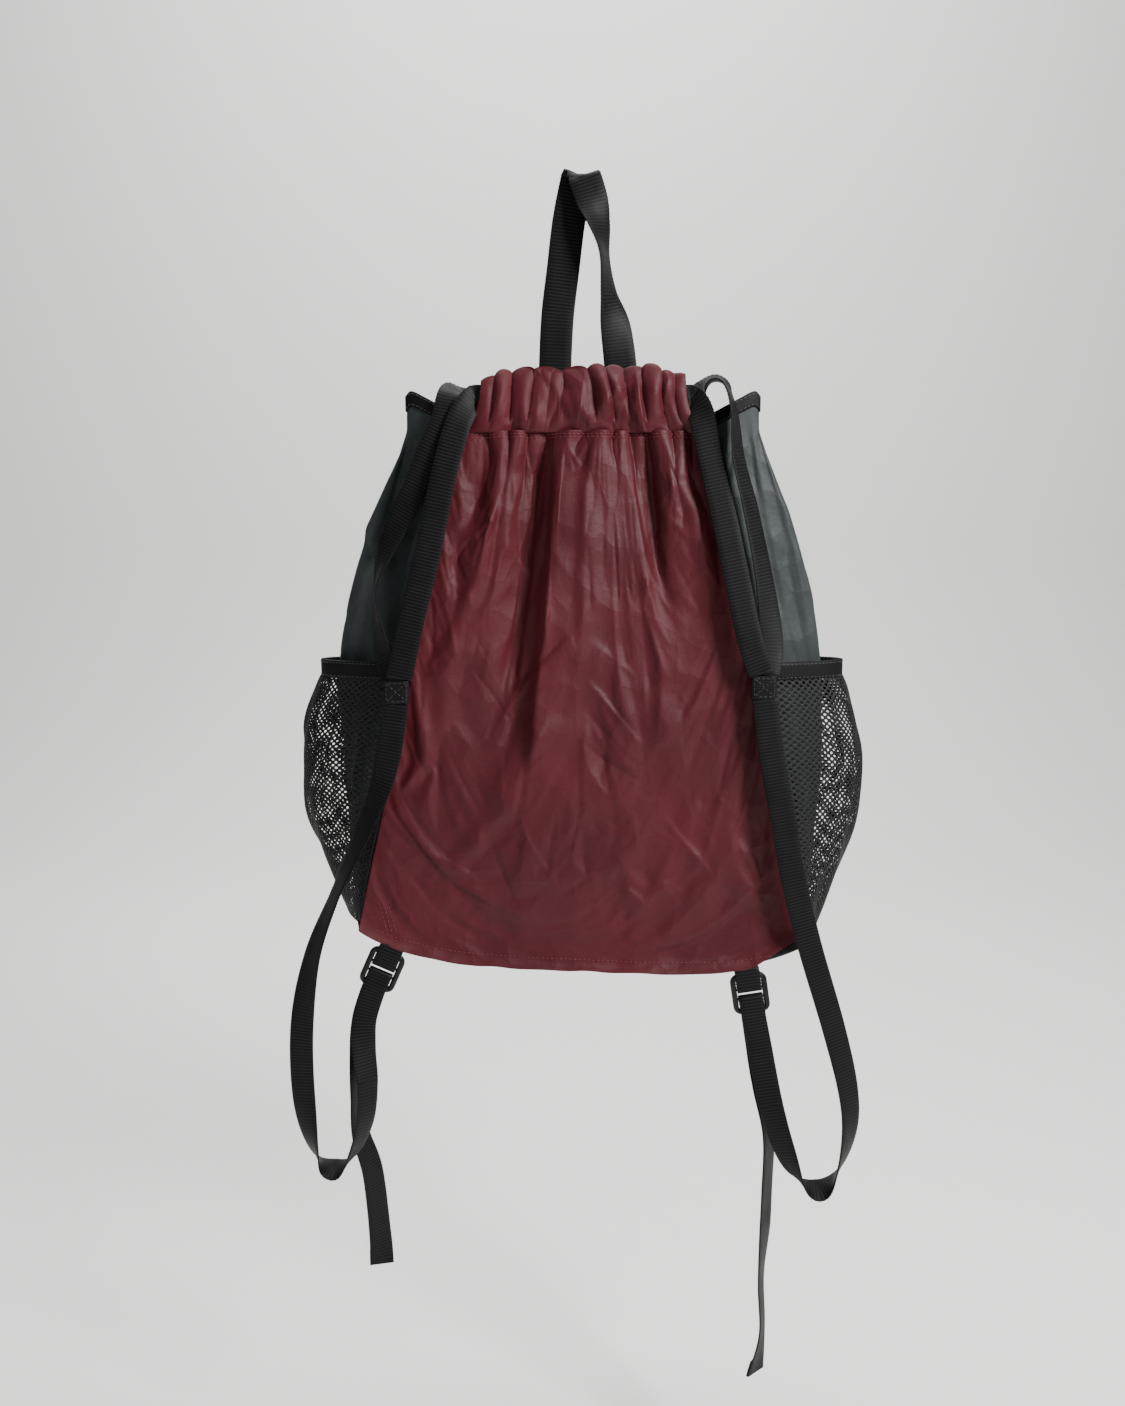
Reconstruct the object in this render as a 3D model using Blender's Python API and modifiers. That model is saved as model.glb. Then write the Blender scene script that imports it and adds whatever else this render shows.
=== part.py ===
"""Drawstring backpack with mesh side pockets, hanging from its carry handle.

Metres, +Z up. The origin is the hang point, inside the top of the handle's loop.
The front panel faces -Y, and +X is to the right of someone who looks at it.
Cloth is drawn as thin closed shells, and webbing as flat ribbons along routes.
"""

import math

import bpy
import bmesh
from mathutils import Matrix, Vector

# Cloth, tape and webbing
CLOTH = 0.0012           # thickness that stands for every cloth panel
MESH_CLOTH = 0.0010      # thickness that stands for the pockets' knitted mesh
WEBBING = 0.0013         # thickness of all webbing
STRAP_WIDE = 0.020       # drawstrings, strands, shoulder straps, tabs and tails
HANDLE_WIDE = 0.026      # carry handle
TAPE = 0.003             # thickness of a folded binding tape
GUSSET_TAPE_TALL = 0.012
POCKET_TAPE_TALL = 0.0145
GAP = 0.0004             # clearance between pieces that are sewn to each other

# Mouth and drawstring channels
MOUTH_DROP = 0.1485      # hang point down to the channels' top edge
MOUTH_Y = -0.01825       # middle of the mouth, front to back
MOUTH_OPEN = 0.0105      # free gap between the two channels
CHANNEL_TALL = 0.048
CHANNEL_DEEP = 0.013
CHANNEL_HALF = 0.0785    # half the gathered length of a channel
RUFFLE = 0.0015          # how far the gathers push a channel to and fro
RUFFLE_PITCH = 0.026

# Bag
BAG_TALL = 0.4752        # channels' top edge down to the middle of the base
BODY_Y = 0.012           # middle of the base, front to back
BAG_DEEP = 0.098         # between the two panels at the base
NECK_HALF = 0.092        # half the panels' width just under the channels
BASE_HALF = 0.183        # half the panels' width at the base
BASE_BOW = 0.026         # how far the base's corners stand above its middle
BASE_TILT = 0.0083       # how much lower the right corner hangs than the middle
BASE_SAG = 0.006         # how far the bottom panel sags between its seams
FOLDS = 5                # folds across a panel
FOLD_DEEP = 0.005        # depth of the folds under the channel

# Gussets and pockets
GUSSET_RISE = 0.0035     # gusset's inner top corner above the panels' top
GUSSET_FLARE = 0.0245    # gusset's crease above that corner
STAND_TOP = 0.045        # gusset's crease beyond the panels' edge, at the top
STAND_BASE = 0.012       # the same, at the base
STAND_SWELL = 0.035      # what the crease stands further out above half way
POCKET_TOP = -0.3765     # top edge of the pockets' binding
POCKET_SLACK = 0.012     # pocket beyond the gusset's crease at its mouth
POCKET_SWELL = 0.018     # what the pocket stands further out half way down

# Straps
JUNCTION_TALL = 0.018
JUNCTION_DEEP = 0.004
STRAP_GAP = 0.0025       # junction to the strap that swings under it
LEFT_JUNCTION = Vector((-0.1460, -0.0475, -0.3985))
RIGHT_JUNCTION = Vector((0.1415, -0.0485, -0.3945))
TAB_DROP = 0.004         # top of a tab under the base's edge
TAB_LONG = 0.022         # top of a tab down to the middle of its lock
LEFT_TAB_X = -0.1545
RIGHT_TAB_X = 0.1344
TAB_Y = -0.0415
LEFT_LEAN = 24.0         # degrees that the left lock's top leans to +X
RIGHT_LEAN = -9.0

# Ladder lock, a moulded frame with four bars
LOCK_RAIL = 0.004        # width of each side rail
LOCK_TALL = 0.034
LOCK_THICK = 0.005
LOCK_OPEN = STRAP_WIDE + 0.0015   # inside width between the rails
LOCK_WIDE = LOCK_OPEN + 2 * LOCK_RAIL
BAR_THICK = 0.0022
BAR_OFF = 0.004          # middle bars above and below the lock's middle
END_BAR = 0.004          # height of the frame's top and bottom bars
LOOP_R = BAR_THICK * 0.7072 + 0.0003 + WEBBING / 2   # webbing's turn round a bar

# Carry handle
HOOK_R = 0.0032          # inside radius of the loop where a hook holds it
ANCHOR_CLEAR = 0.00085   # back channel's ruffles to the handle's webbing
HINGE_RISE = 0.003       # handle's hinge line above the channels' top edge
ANCHOR_LONG = 0.025      # handle ends sewn behind the back channel
LEFT_ANCHOR_X = -0.022
RIGHT_ANCHOR_X = 0.0305

CHANNEL_TOP = -MOUTH_DROP
PANEL_TOP = CHANNEL_TOP - CHANNEL_TALL
BASE_LOW = CHANNEL_TOP - BAG_TALL
CORNER_Z = BASE_LOW + BASE_BOW
FRONT_CHANNEL_Y = MOUTH_Y - (MOUTH_OPEN + CHANNEL_DEEP) / 2
BACK_CHANNEL_Y = MOUTH_Y + (MOUTH_OPEN + CHANNEL_DEEP) / 2
HANDLE_Y = BACK_CHANNEL_Y + CHANNEL_DEEP / 2 + RUFFLE + ANCHOR_CLEAR + WEBBING / 2
CHANNEL_Z = CHANNEL_TOP - CHANNEL_TALL / 2
HINGE_Z = CHANNEL_TOP + HINGE_RISE
END_CLEAR = 0.0015       # channel's end to the strand that leaves it

for old in list(bpy.data.objects):
    bpy.data.objects.remove(old, do_unlink=True)
bag_parts = bpy.data.collections.new("drawstring_backpack")
cutters = bpy.data.collections.new("cutters")
bpy.context.scene.collection.children.link(bag_parts)
bpy.context.scene.collection.children.link(cutters)


def material(name, colour, roughness, metallic=0.0):
    made = bpy.data.materials.new(name)
    made.use_nodes = True
    shader = made.node_tree.nodes["Principled BSDF"]
    shader.inputs["Base Color"].default_value = (*colour, 1.0)
    shader.inputs["Roughness"].default_value = roughness
    shader.inputs["Metallic"].default_value = metallic
    return made


BURGUNDY = ("burgundy_nylon", (0.095, 0.012, 0.018), 0.45)
SLATE = ("slate_nylon", (0.040, 0.052, 0.052), 0.5)
BLACK_CLOTH = ("black_nylon", (0.010, 0.010, 0.011), 0.6)
BLACK_MESH = ("black_mesh", (0.008, 0.008, 0.009), 0.7)
BLACK_TAPE = ("black_grosgrain", (0.012, 0.012, 0.013), 0.75)
BLACK_WEBBING = ("black_webbing", (0.011, 0.011, 0.012), 0.7)
BLACK_PLASTIC = ("black_plastic", (0.012, 0.012, 0.013), 0.3)


def place_in_scene(name, mesh, look, home=bag_parts):
    """A new object of a mesh, with its own material."""
    obj = bpy.data.objects.new(name, mesh)
    obj.data.materials.append(material(f"{name}_{look[0]}", look[1], look[2]))
    home.objects.link(obj)
    return obj


def thicken(obj, thickness):
    """Turns an open surface into a closed shell, half the thickness to each side."""
    shell = obj.modifiers.new("Thickness", "SOLIDIFY")
    shell.thickness = thickness
    shell.offset = 0.0
    shell.use_even_offset = True
    return obj


def sheet(name, columns, rows, spot, look, thickness=CLOTH, wraps=False):
    """A cloth shell. spot(u, v) gives the point for u across and v up, each -1 to 1."""
    grid = bmesh.new()
    bmesh.ops.create_grid(grid, x_segments=columns, y_segments=rows, size=1.0)
    for vertex in grid.verts:
        vertex.co = spot(vertex.co.x, vertex.co.y)
    if wraps:
        bmesh.ops.remove_doubles(grid, verts=grid.verts, dist=1e-6)
    bmesh.ops.recalc_face_normals(grid, faces=grid.faces)
    mesh = bpy.data.meshes.new(name)
    grid.to_mesh(mesh)
    grid.free()
    mesh.shade_smooth()
    return thicken(place_in_scene(name, mesh, look), thickness)


def curve_through(points, share):
    """The point at a share 0 to 1 of a smooth curve through points, all vectors."""
    spans = len(points) - 1
    at = min(int(share * spans), spans - 1)
    t = share * spans - at
    p0 = points[max(at - 1, 0)]
    p1 = points[at]
    p2 = points[at + 1]
    p3 = points[min(at + 2, spans)]
    return 0.5 * (
        2 * p1
        + (p2 - p0) * t
        + (2 * p0 - 5 * p1 + 4 * p2 - p3) * t * t
        + (3 * p1 - p0 - 3 * p2 + p3) * t * t * t
    )


def smooth_route(route, steps_per_span):
    """Many points along a smooth curve through a route of (point, width direction)."""
    points = [Vector(point) for point, _ in route]
    widths = [Vector(width).normalized() for _, width in route]
    count = (len(route) - 1) * steps_per_span
    return [
        (curve_through(points, i / count), curve_through(widths, i / count))
        for i in range(count + 1)
    ]


def ribbon(name, route, wide, look, thickness=WEBBING):
    """Flat webbing along a route of (point, width direction). Its two ends are cut
    along the width directions given, and between them its width is square to it."""
    edges = []
    for i, (point, across) in enumerate(route):
        flat = across.normalized()
        if 0 < i < len(route) - 1:
            along = (route[i + 1][0] - route[i - 1][0]).normalized()
            flat = (flat - along * flat.dot(along)).normalized()
        edges.append((point - flat * wide / 2, point + flat * wide / 2))

    def spot(u, v):
        row = round((v + 1) / 2 * (len(edges) - 1))
        return edges[row][1 if u > 0 else 0]

    return sheet(name, 1, len(edges) - 1, spot, look, thickness)


# Shape of the bag


def down(z):
    """Share of the way from the panels' top to the base's corners."""
    return max(0.0, min(1.0, (PANEL_TOP - z) / (PANEL_TOP - CORNER_Z)))


def panel_half(z):
    return NECK_HALF + (BASE_HALF - NECK_HALF) * down(z)


def panel_y(z, facing):
    """Front (-1) or back (1) panel's depth at a height: narrow at the mouth, full below."""
    neck = FRONT_CHANNEL_Y if facing < 0 else BACK_CHANNEL_Y
    base = BODY_Y + facing * BAG_DEEP / 2
    return neck + (base - neck) * math.sin(math.pi / 2 * min(1.0, 1.15 * down(z)))


def base_z(x):
    """Height of the base's seam: flat in the middle, rising to both corners."""
    share = x / BASE_HALF
    return BASE_LOW + BASE_BOW * share**4 - BASE_TILT * share


def gusset_stand(z):
    t = down(z)
    swell = math.sin(math.pi * t**0.8)
    return STAND_TOP + (STAND_BASE - STAND_TOP) * t + STAND_SWELL * swell


def panel(name, facing):
    def spot(u, v):
        x_base = u * BASE_HALF
        low = base_z(x_base) + GAP + CLOTH / 2
        high = PANEL_TOP - 2 * GAP
        z = low + (high - low) * (v + 1) / 2
        t = down(z)
        depth = FOLD_DEEP * (1 - 0.75 * t) * min(1.0, 4 * (1 - abs(u)))
        fold = depth * math.cos(math.pi * FOLDS * u + 0.6 * facing)
        return Vector((u * panel_half(z), panel_y(z, facing) + fold, z))

    look = BURGUNDY if facing < 0 else SLATE
    return sheet(name, 24, 12, spot, look)


def channel(name, middle_y, look):
    """A gathered tunnel, open at both ends, for the drawstring."""

    def spot(u, v):
        angle = math.pi * u
        x = v * CHANNEL_HALF
        wave = 2 * math.pi * x / RUFFLE_PITCH
        ruffle = RUFFLE * math.sin(wave)
        round_y = math.copysign(abs(math.sin(angle)) ** 0.75, math.sin(angle))
        round_z = math.copysign(abs(math.cos(angle)) ** 0.75, math.cos(angle))
        y = middle_y + ruffle + CHANNEL_DEEP / 2 * round_y
        tall = (CHANNEL_TALL - CLOTH) / 2
        return Vector((x, y, CHANNEL_Z + tall * round_z))

    return sheet(name, 14, 24, spot, look, wraps=True)


def drawstring(name, middle_y):
    route = [
        (Vector((x * (CHANNEL_HALF - 0.001), middle_y, CHANNEL_Z)), Vector((0, 0, 1)))
        for x in (-1.0, -0.5, 0.0, 0.5, 1.0)
    ]
    return ribbon(name, route, STRAP_WIDE, BLACK_WEBBING)


def gusset_spot(side, u, z):
    """A point of a gusset at u from the front seam (-1) to the back seam (1)."""
    edge = panel_half(z) + GAP + CLOTH / 2
    out = 1 - abs(u) ** 1.6
    front = panel_y(z, -1)
    back = panel_y(z, 1)
    x = side * (edge + gusset_stand(z) * out)
    return Vector((x, front + (back - front) * (u + 1) / 2, z))


def gusset_top(u):
    return PANEL_TOP + GUSSET_RISE + GUSSET_FLARE * (1 - abs(u) ** 1.6)


def gusset(name, side):
    def spot(u, v):
        foot = gusset_spot(side, u, CORNER_Z)
        low = base_z(foot.x) + GAP + CLOTH
        high = gusset_top(u) - GUSSET_TAPE_TALL / 2 - 3 * GAP
        return gusset_spot(side, u, low + (high - low) * (v + 1) / 2)

    return sheet(name, 10, 12, spot, SLATE)


def gusset_binding(name, side):
    def spot(u, v):
        return gusset_spot(side, u, gusset_top(u) + v * GUSSET_TAPE_TALL / 2)

    return sheet(name, 18, 1, spot, BLACK_TAPE, TAPE)


def pocket_spot(side, u, z, share):
    """A point of a pocket, share 0 at its mouth and 1 at its foot."""
    slack = POCKET_SLACK + POCKET_SWELL * math.sin(math.pi * share**0.8)
    slack = slack * (1 - share**6) + 2 * CLOTH
    edge = panel_half(z) + GAP + CLOTH
    front = panel_y(z, -1) - 3 * CLOTH
    back = panel_y(z, 1) + 3 * CLOTH
    x = side * (edge + (gusset_stand(z) + slack) * (1 - u * u))
    return Vector((x, front + (back - front) * (u + 1) / 2, z))


def pocket(name, side):
    def spot(u, v):
        share = (1 - v) / 2
        foot = pocket_spot(side, u, CORNER_Z, 1.0)
        low = base_z(foot.x) + GAP + CLOTH
        high = POCKET_TOP - POCKET_TAPE_TALL - GAP
        return pocket_spot(side, u, high + (low - high) * share, share)

    return sheet(name, 12, 10, spot, BLACK_MESH, MESH_CLOTH)


def pocket_binding(name, side):
    def spot(u, v):
        z = POCKET_TOP - POCKET_TAPE_TALL * (1 - v) / 2
        return pocket_spot(side, u, z, 0.0)

    return sheet(name, 20, 1, spot, BLACK_TAPE, TAPE)


def bottom_panel():
    def spot(u, v):
        end = gusset_spot(1, v, CORNER_Z)
        x = u * (end.x - CLOTH)
        sag = BASE_SAG * (1 - v * v) * (1 - u * u)
        return Vector((x, end.y, base_z(x) - CLOTH / 2 - sag))

    return sheet("bottom_panel", 18, 6, spot, BLACK_CLOTH)


front_panel = panel("front_panel", -1)
back_panel = panel("back_panel", 1)
left_gusset = gusset("left_gusset", -1)
right_gusset = gusset("right_gusset", 1)
bottom_panel()
channel("front_channel", FRONT_CHANNEL_Y, BURGUNDY)
channel("back_channel", BACK_CHANNEL_Y, SLATE)
drawstring("front_drawstring", FRONT_CHANNEL_Y)
drawstring("back_drawstring", BACK_CHANNEL_Y)
gusset_binding("left_gusset_binding", -1)
gusset_binding("right_gusset_binding", 1)
pocket("left_pocket_mesh", -1)
pocket("right_pocket_mesh", 1)
pocket_binding("left_pocket_binding", -1)
pocket_binding("right_pocket_binding", 1)

# Carry handle: up behind the hook, over it, and down in front with a half twist

HOOK_TURN = HOOK_R + WEBBING / 2


def over_hook(angle, x):
    """A point of the webbing where it lies on the hook, angle 0 at the back."""
    a = math.radians(angle)
    return (x, HOOK_TURN * math.cos(a), HOOK_TURN * math.sin(a) - HOOK_R)


def carry_handle():
    flat = (1, 0, 0)
    route = [
        ((LEFT_ANCHOR_X, HANDLE_Y, HINGE_Z + GAP * 2), flat),
        ((-0.0200, 0.0032, -0.105), flat),
        ((-0.0155, 0.0038, -0.068), flat),
        ((-0.0110, 0.0044, -0.032), flat),
        (over_hook(0, -0.0050), flat),
        (over_hook(45, -0.0035), flat),
        (over_hook(90, -0.0015), flat),
        (over_hook(135, 0.0000), flat),
        (over_hook(180, 0.0015), flat),
        ((0.0065, -0.0050, -0.018), (1, 0.15, 0)),
        ((0.0125, -0.0055, -0.038), (0.7, 0.7, 0)),
        ((0.0168, -0.0050, -0.060), (0.35, 0.94, 0)),
        ((0.0205, -0.0030, -0.088), (0.55, 0.83, 0)),
        ((0.0265, 0.0010, -0.115), (0.95, 0.30, 0)),
        ((RIGHT_ANCHOR_X, HANDLE_Y, HINGE_Z + GAP * 2), flat),
    ]
    return ribbon("carry_handle", smooth_route(route, 3), HANDLE_WIDE, BLACK_WEBBING)


def handle_anchor(name, x):
    top = HINGE_Z - GAP * 2
    route = [
        (Vector((x, HANDLE_Y, top - share * ANCHOR_LONG)), Vector((1, 0, 0)))
        for share in (0.0, 0.5, 1.0)
    ]
    return ribbon(name, route, HANDLE_WIDE, BLACK_WEBBING)


carry_handle()
handle_anchor("left_handle_anchor", LEFT_ANCHOR_X)
handle_anchor("right_handle_anchor", RIGHT_ANCHOR_X)

# Strands: from a channel's end to the junction. The first point is the channel's end,
# where the webbing stands on edge, and the last is just above the junction.


def strand(name, side, middle_y, route, junction, last_offset):
    start = (side * (CHANNEL_HALF + END_CLEAR), middle_y, CHANNEL_Z)
    clear = (side * (CHANNEL_HALF + END_CLEAR + 0.004), middle_y, CHANNEL_Z)
    end = junction + Vector(last_offset)
    end.z = junction.z + JUNCTION_TALL / 2 + GAP * 3
    whole = [(start, (0, 0, 1)), (clear, (0, 0, 1)), *route, (end, (side, 0, 0))]
    return ribbon(name, smooth_route(whole, 3), STRAP_WIDE, BLACK_WEBBING)


def junction_patch(name, middle):
    """The sewn overlap, a block of three layers of webbing."""
    wide, deep, tall = STRAP_WIDE, JUNCTION_DEEP, JUNCTION_TALL
    block = bmesh.new()
    bmesh.ops.create_cube(block, size=1.0)
    bmesh.ops.scale(block, vec=(wide, deep, tall), verts=block.verts)
    mesh = bpy.data.meshes.new(name)
    block.to_mesh(mesh)
    block.free()
    patch = place_in_scene(name, mesh, BLACK_WEBBING)
    patch.location = middle
    edge = patch.modifiers.new("Edges", "BEVEL")
    edge.width = deep / 5
    edge.segments = 2
    return patch


LEFT_FRONT_STRAND = [
    ((-0.0905, -0.0345, -0.1810), (-0.6, 0, 0.8)),
    ((-0.0980, -0.0400, -0.1990), (-1, 0, 0.25)),
    ((-0.1080, -0.0440, -0.2360), (-1, 0, 0)),
    ((-0.1210, -0.0465, -0.2960), (-1, 0, 0)),
    ((-0.1330, -0.0485, -0.3420), (-1, 0, 0)),
]
LEFT_BACK_STRAND = [
    ((-0.0910, -0.0090, -0.1690), (-0.35, 0, 0.94)),
    ((-0.0985, -0.0180, -0.1635), (-0.8, 0.25, 0.55)),
    ((-0.1030, -0.0290, -0.1700), (-1, 0.1, 0.3)),
    ((-0.1080, -0.0350, -0.1910), (-1, 0, 0.1)),
    ((-0.1190, -0.0360, -0.2150), (-1, 0, 0)),
    ((-0.1310, -0.0350, -0.2420), (-1, 0, 0)),
    ((-0.1530, -0.0320, -0.2840), (-0.8, 0.5, 0)),
    ((-0.1630, -0.0350, -0.3190), (-0.25, 1, 0)),
    ((-0.03114 - panel_half(-0.3590), -0.0385, -0.3590), (-0.7, 0.7, 0)),
]
RIGHT_FRONT_STRAND = [
    ((0.0895, -0.0345, -0.1820), (0.6, 0, 0.8)),
    ((0.0945, -0.0400, -0.2030), (1, 0, 0.25)),
    ((0.1054, -0.0440, -0.2510), (1, 0, 0)),
    ((0.1190, -0.0475, -0.3110), (1, 0, 0)),
    ((0.1293, -0.0505, -0.3570), (1, 0, 0)),
]
RIGHT_BACK_STRAND = [
    ((0.0820 + STRAP_WIDE / 2, -0.0095, -0.1640), (0, 0.45, 0.9)),
    ((0.1010, -0.0200, -0.1580), (0.1, 0.9, 0.35)),
    ((0.1095, -0.0235 - STRAP_WIDE / 2, -0.1640), (0.25, 0.95, 0.1)),
    ((0.1150, -0.0315 - STRAP_WIDE / 2, -0.1850), (0.4, 0.9, 0)),
    ((0.0990 + STRAP_WIDE, -0.0420, -0.2190), (0.6, 0.8, 0)),
    ((0.1090 + STRAP_WIDE, -0.0420, -0.2570), (0.7, 0.7, 0)),
    ((0.1212 + STRAP_WIDE, -0.0415, -0.3120), (0.8, 0.6, 0)),
    ((0.1276 + STRAP_WIDE, -0.0420, -0.3600), (0.97, 0.2, 0)),
]
strand("left_front_strand", -1, FRONT_CHANNEL_Y, LEFT_FRONT_STRAND, LEFT_JUNCTION,
       (0.0025, -0.0018, 0))
strand("left_back_strand", -1, BACK_CHANNEL_Y, LEFT_BACK_STRAND, LEFT_JUNCTION,
       (-0.0015, 0.0022, 0))
strand("right_front_strand", 1, FRONT_CHANNEL_Y, RIGHT_FRONT_STRAND, RIGHT_JUNCTION,
       (-0.0025, -0.0018, 0))
strand("right_back_strand", 1, BACK_CHANNEL_Y, RIGHT_BACK_STRAND, RIGHT_JUNCTION,
       (0.0025, 0.0022, 0))
junction_patch("left_strap_junction", LEFT_JUNCTION)
junction_patch("right_strap_junction", RIGHT_JUNCTION)

# Ladder locks, and the webbing through them. In a lock's own frame X is across, -Y is
# towards the front and Z runs up to the tab.

FRONT_LAYER = -LOOP_R                          # webbing that lies on the bars' front
LOAD_LAYER = FRONT_LAYER - WEBBING - 0.0003    # strap in front of the tail
TAIL_TOP = -LOCK_TALL / 2 - 0.001              # tail's hinge line under the bottom bar


def lock_frame(tab_x, lean):
    """A lock's own frame in the bag's: its middle, turned by its lean."""
    turn = Matrix.Rotation(math.radians(lean), 4, "Y")
    top = Vector((tab_x, TAB_Y, base_z(tab_x) - TAB_DROP))
    middle = top + turn @ Vector((0, 0, -TAB_LONG))
    return Matrix.Translation(middle) @ turn


def box_cutter(name, frame, boxes):
    """One hidden cutter mesh of separate boxes, each (middle, size)."""
    grown = bmesh.new()
    for middle, size in boxes:
        made = bmesh.ops.create_cube(grown, size=1.0)
        bmesh.ops.scale(grown, vec=size, verts=made["verts"])
        bmesh.ops.translate(grown, vec=middle, verts=made["verts"])
    mesh = bpy.data.meshes.new(name)
    grown.to_mesh(mesh)
    grown.free()
    cutter = bpy.data.objects.new(name, mesh)
    cutters.objects.link(cutter)
    cutter.matrix_world = frame
    cutter.hide_render = True
    cutter.display_type = "WIRE"
    return cutter


def ladder_lock(name, frame):
    block = bmesh.new()
    bmesh.ops.create_cube(block, size=1.0)
    size = (LOCK_WIDE, LOCK_THICK, LOCK_TALL)
    bmesh.ops.scale(block, vec=size, verts=block.verts)
    mesh = bpy.data.meshes.new(name)
    block.to_mesh(mesh)
    block.free()
    lock = place_in_scene(name, mesh, BLACK_PLASTIC)
    lock.matrix_world = frame
    edge = lock.modifiers.new("Edges", "BEVEL")
    edge.width = LOCK_THICK * 0.35
    edge.segments = 3
    slot_end = LOCK_TALL / 2 - END_BAR
    slot_start = BAR_OFF + BAR_THICK / 2
    slot_tall = slot_end - slot_start
    slot_middle = (slot_end + slot_start) / 2
    middle_tall = 2 * BAR_OFF - BAR_THICK
    through = 3 * LOCK_THICK
    slots = [
        ((0, 0, slot_middle), (LOCK_OPEN, through, slot_tall)),
        ((0, 0, 0), (LOCK_OPEN, through, middle_tall)),
        ((0, 0, -slot_middle), (LOCK_OPEN, through, slot_tall)),
    ]
    face = BAR_THICK / 2 + LOCK_THICK
    faces = [
        ((0, -face, 0), (LOCK_OPEN, 2 * LOCK_THICK, 2 * LOCK_TALL)),
        ((0, face, 0), (LOCK_OPEN, 2 * LOCK_THICK, 2 * LOCK_TALL)),
    ]
    for label, boxes in (("slots", slots), ("faces", faces)):
        cut = lock.modifiers.new(label, "BOOLEAN")
        cut.operation = "DIFFERENCE"
        cut.object = box_cutter(f"{name}_{label}", frame, boxes)
    return lock


def through_lock(name, frame, own_route, wide=STRAP_WIDE):
    """Webbing along (y, z) points of a lock's own frame, flat across it."""
    across = (frame.to_3x3() @ Vector((1, 0, 0))).normalized()
    route = [(frame @ Vector((0, y, z)), across) for y, z in own_route]
    return ribbon(name, route, wide, BLACK_WEBBING)


def turn_round(bar_z, first, last, steps):
    """(y, z) points round a bar, by angle in degrees from +Y towards +Z."""
    found = []
    for i in range(steps + 1):
        a = math.radians(first + (last - first) * i / steps)
        found.append((LOOP_R * math.cos(a), bar_z + LOOP_R * math.sin(a)))
    return found


def lock_tab(name, frame):
    """A loop of webbing: both ends in the seam, round the lock's upper middle bar."""
    layer = WEBBING / 2 + 0.0003
    lie = LOCK_TALL / 2 + 0.001
    route = [(-layer, TAB_LONG), (-LOOP_R, lie), (-LOOP_R, BAR_OFF + 0.004)]
    route += turn_round(BAR_OFF, 180, 360, 8)
    route += [(LOOP_R, BAR_OFF + 0.004), (LOOP_R, lie), (layer, TAB_LONG)]
    return through_lock(name, frame, route)


def strap_fold(name, frame):
    """The strap's stretch in the lock: up the front, over the lower middle bar and down
    behind it, forward through the lower slot, and down in front of the bottom bar."""
    foot = -LOCK_TALL / 2 - 0.0008
    route = [(LOAD_LAYER, foot), (LOAD_LAYER, -0.0135), (LOAD_LAYER + 0.0004, -0.0105)]
    route += [(-LOOP_R - 0.0004, -0.0065)]
    route += turn_round(-BAR_OFF, 180, -20, 9)
    route += [(0.0012, -0.0078), (-0.0010, -0.0098), (-LOOP_R, -0.0122)]
    route += [(-LOOP_R, foot)]
    return through_lock(name, frame, route)


left_lock = lock_frame(LEFT_TAB_X, LEFT_LEAN)
right_lock = lock_frame(RIGHT_TAB_X, RIGHT_LEAN)
for side, frame in (("left", left_lock), ("right", right_lock)):
    ladder_lock(f"{side}_ladder_lock", frame)
    lock_tab(f"{side}_lock_tab", frame)
    strap_fold(f"{side}_strap_fold", frame)

# Shoulder straps: from under the junction, down in a free loop and up into the lock.
# The heights of the straps' and tails' points are from the base's lowest height.

LEFT_STRAP = [
    ((-0.1535, -0.0500, 0.1737), (-1, 0.1, 0)),
    ((-0.1625, -0.0530, 0.1417), (-0.85, 0.5, 0)),
    ((-0.1875, -0.0540, 0.0857), (-0.6, 0.8, 0)),
    ((-0.1985, -0.0540, 0.0607), (-0.5, 0.85, 0)),
    ((-0.2175, -0.0530, 0.0117), (-0.75, 0.65, 0)),
    ((-0.2275, -0.0540, -0.0463), (-1, 0.2, 0)),
    ((-0.2275, -0.0560, -0.1073), (-1, 0.2, 0)),
    ((-0.2190, -0.0600, -0.1533), (-0.6, 0.8, 0.1)),
    ((-0.2030, -0.0630, -0.1668), (0, 0.9, 0.4)),
    ((-0.1885, -0.0635, -0.1563), (0.4, 0.9, 0.1)),
    ((-0.1775, -0.0600, -0.1283), (0.6, 0.8, 0)),
    ((-0.1755, -0.0540, -0.0983), (0.7, 0.7, 0)),
    ((-0.1785, -0.0490, -0.0713), (0.85, 0.5, 0)),
    ((-0.1785, -0.0462, -0.0463), (1, 0.1, -0.2)),
]
RIGHT_STRAP = [
    ((0.1491, -0.0500, 0.1737), (1, 0, 0)),
    ((0.1590, -0.0520, 0.1237), (1, 0, 0)),
    ((0.1676, -0.0535, 0.0773), (1, 0, 0)),
    ((0.1828, -0.0545, 0.0197), (1, 0.1, 0)),
    ((0.2035, -0.0560, -0.0473), (1, 0.2, 0)),
    ((0.2165, -0.0580, -0.0988), (0.9, 0.4, 0)),
    ((0.2185, -0.0610, -0.1333), (0.8, 0.6, 0)),
    ((0.2100, -0.0640, -0.1663), (0.5, 0.85, 0.1)),
    ((0.1945, -0.0655, -0.1833), (0, 0.9, 0.4)),
    ((0.1770, -0.0640, -0.1743), (-0.5, 0.85, 0.2)),
    ((0.1640, -0.0600, -0.1463), (-0.9, 0.5, 0)),
    ((0.1540, -0.0555, -0.1113), (-1, 0.2, 0)),
    ((0.1455, -0.0480, -0.0663), (-1, 0, 0)),
]


def from_base(route):
    return [((x, y, BASE_LOW + z), width) for (x, y, z), width in route]


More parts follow.
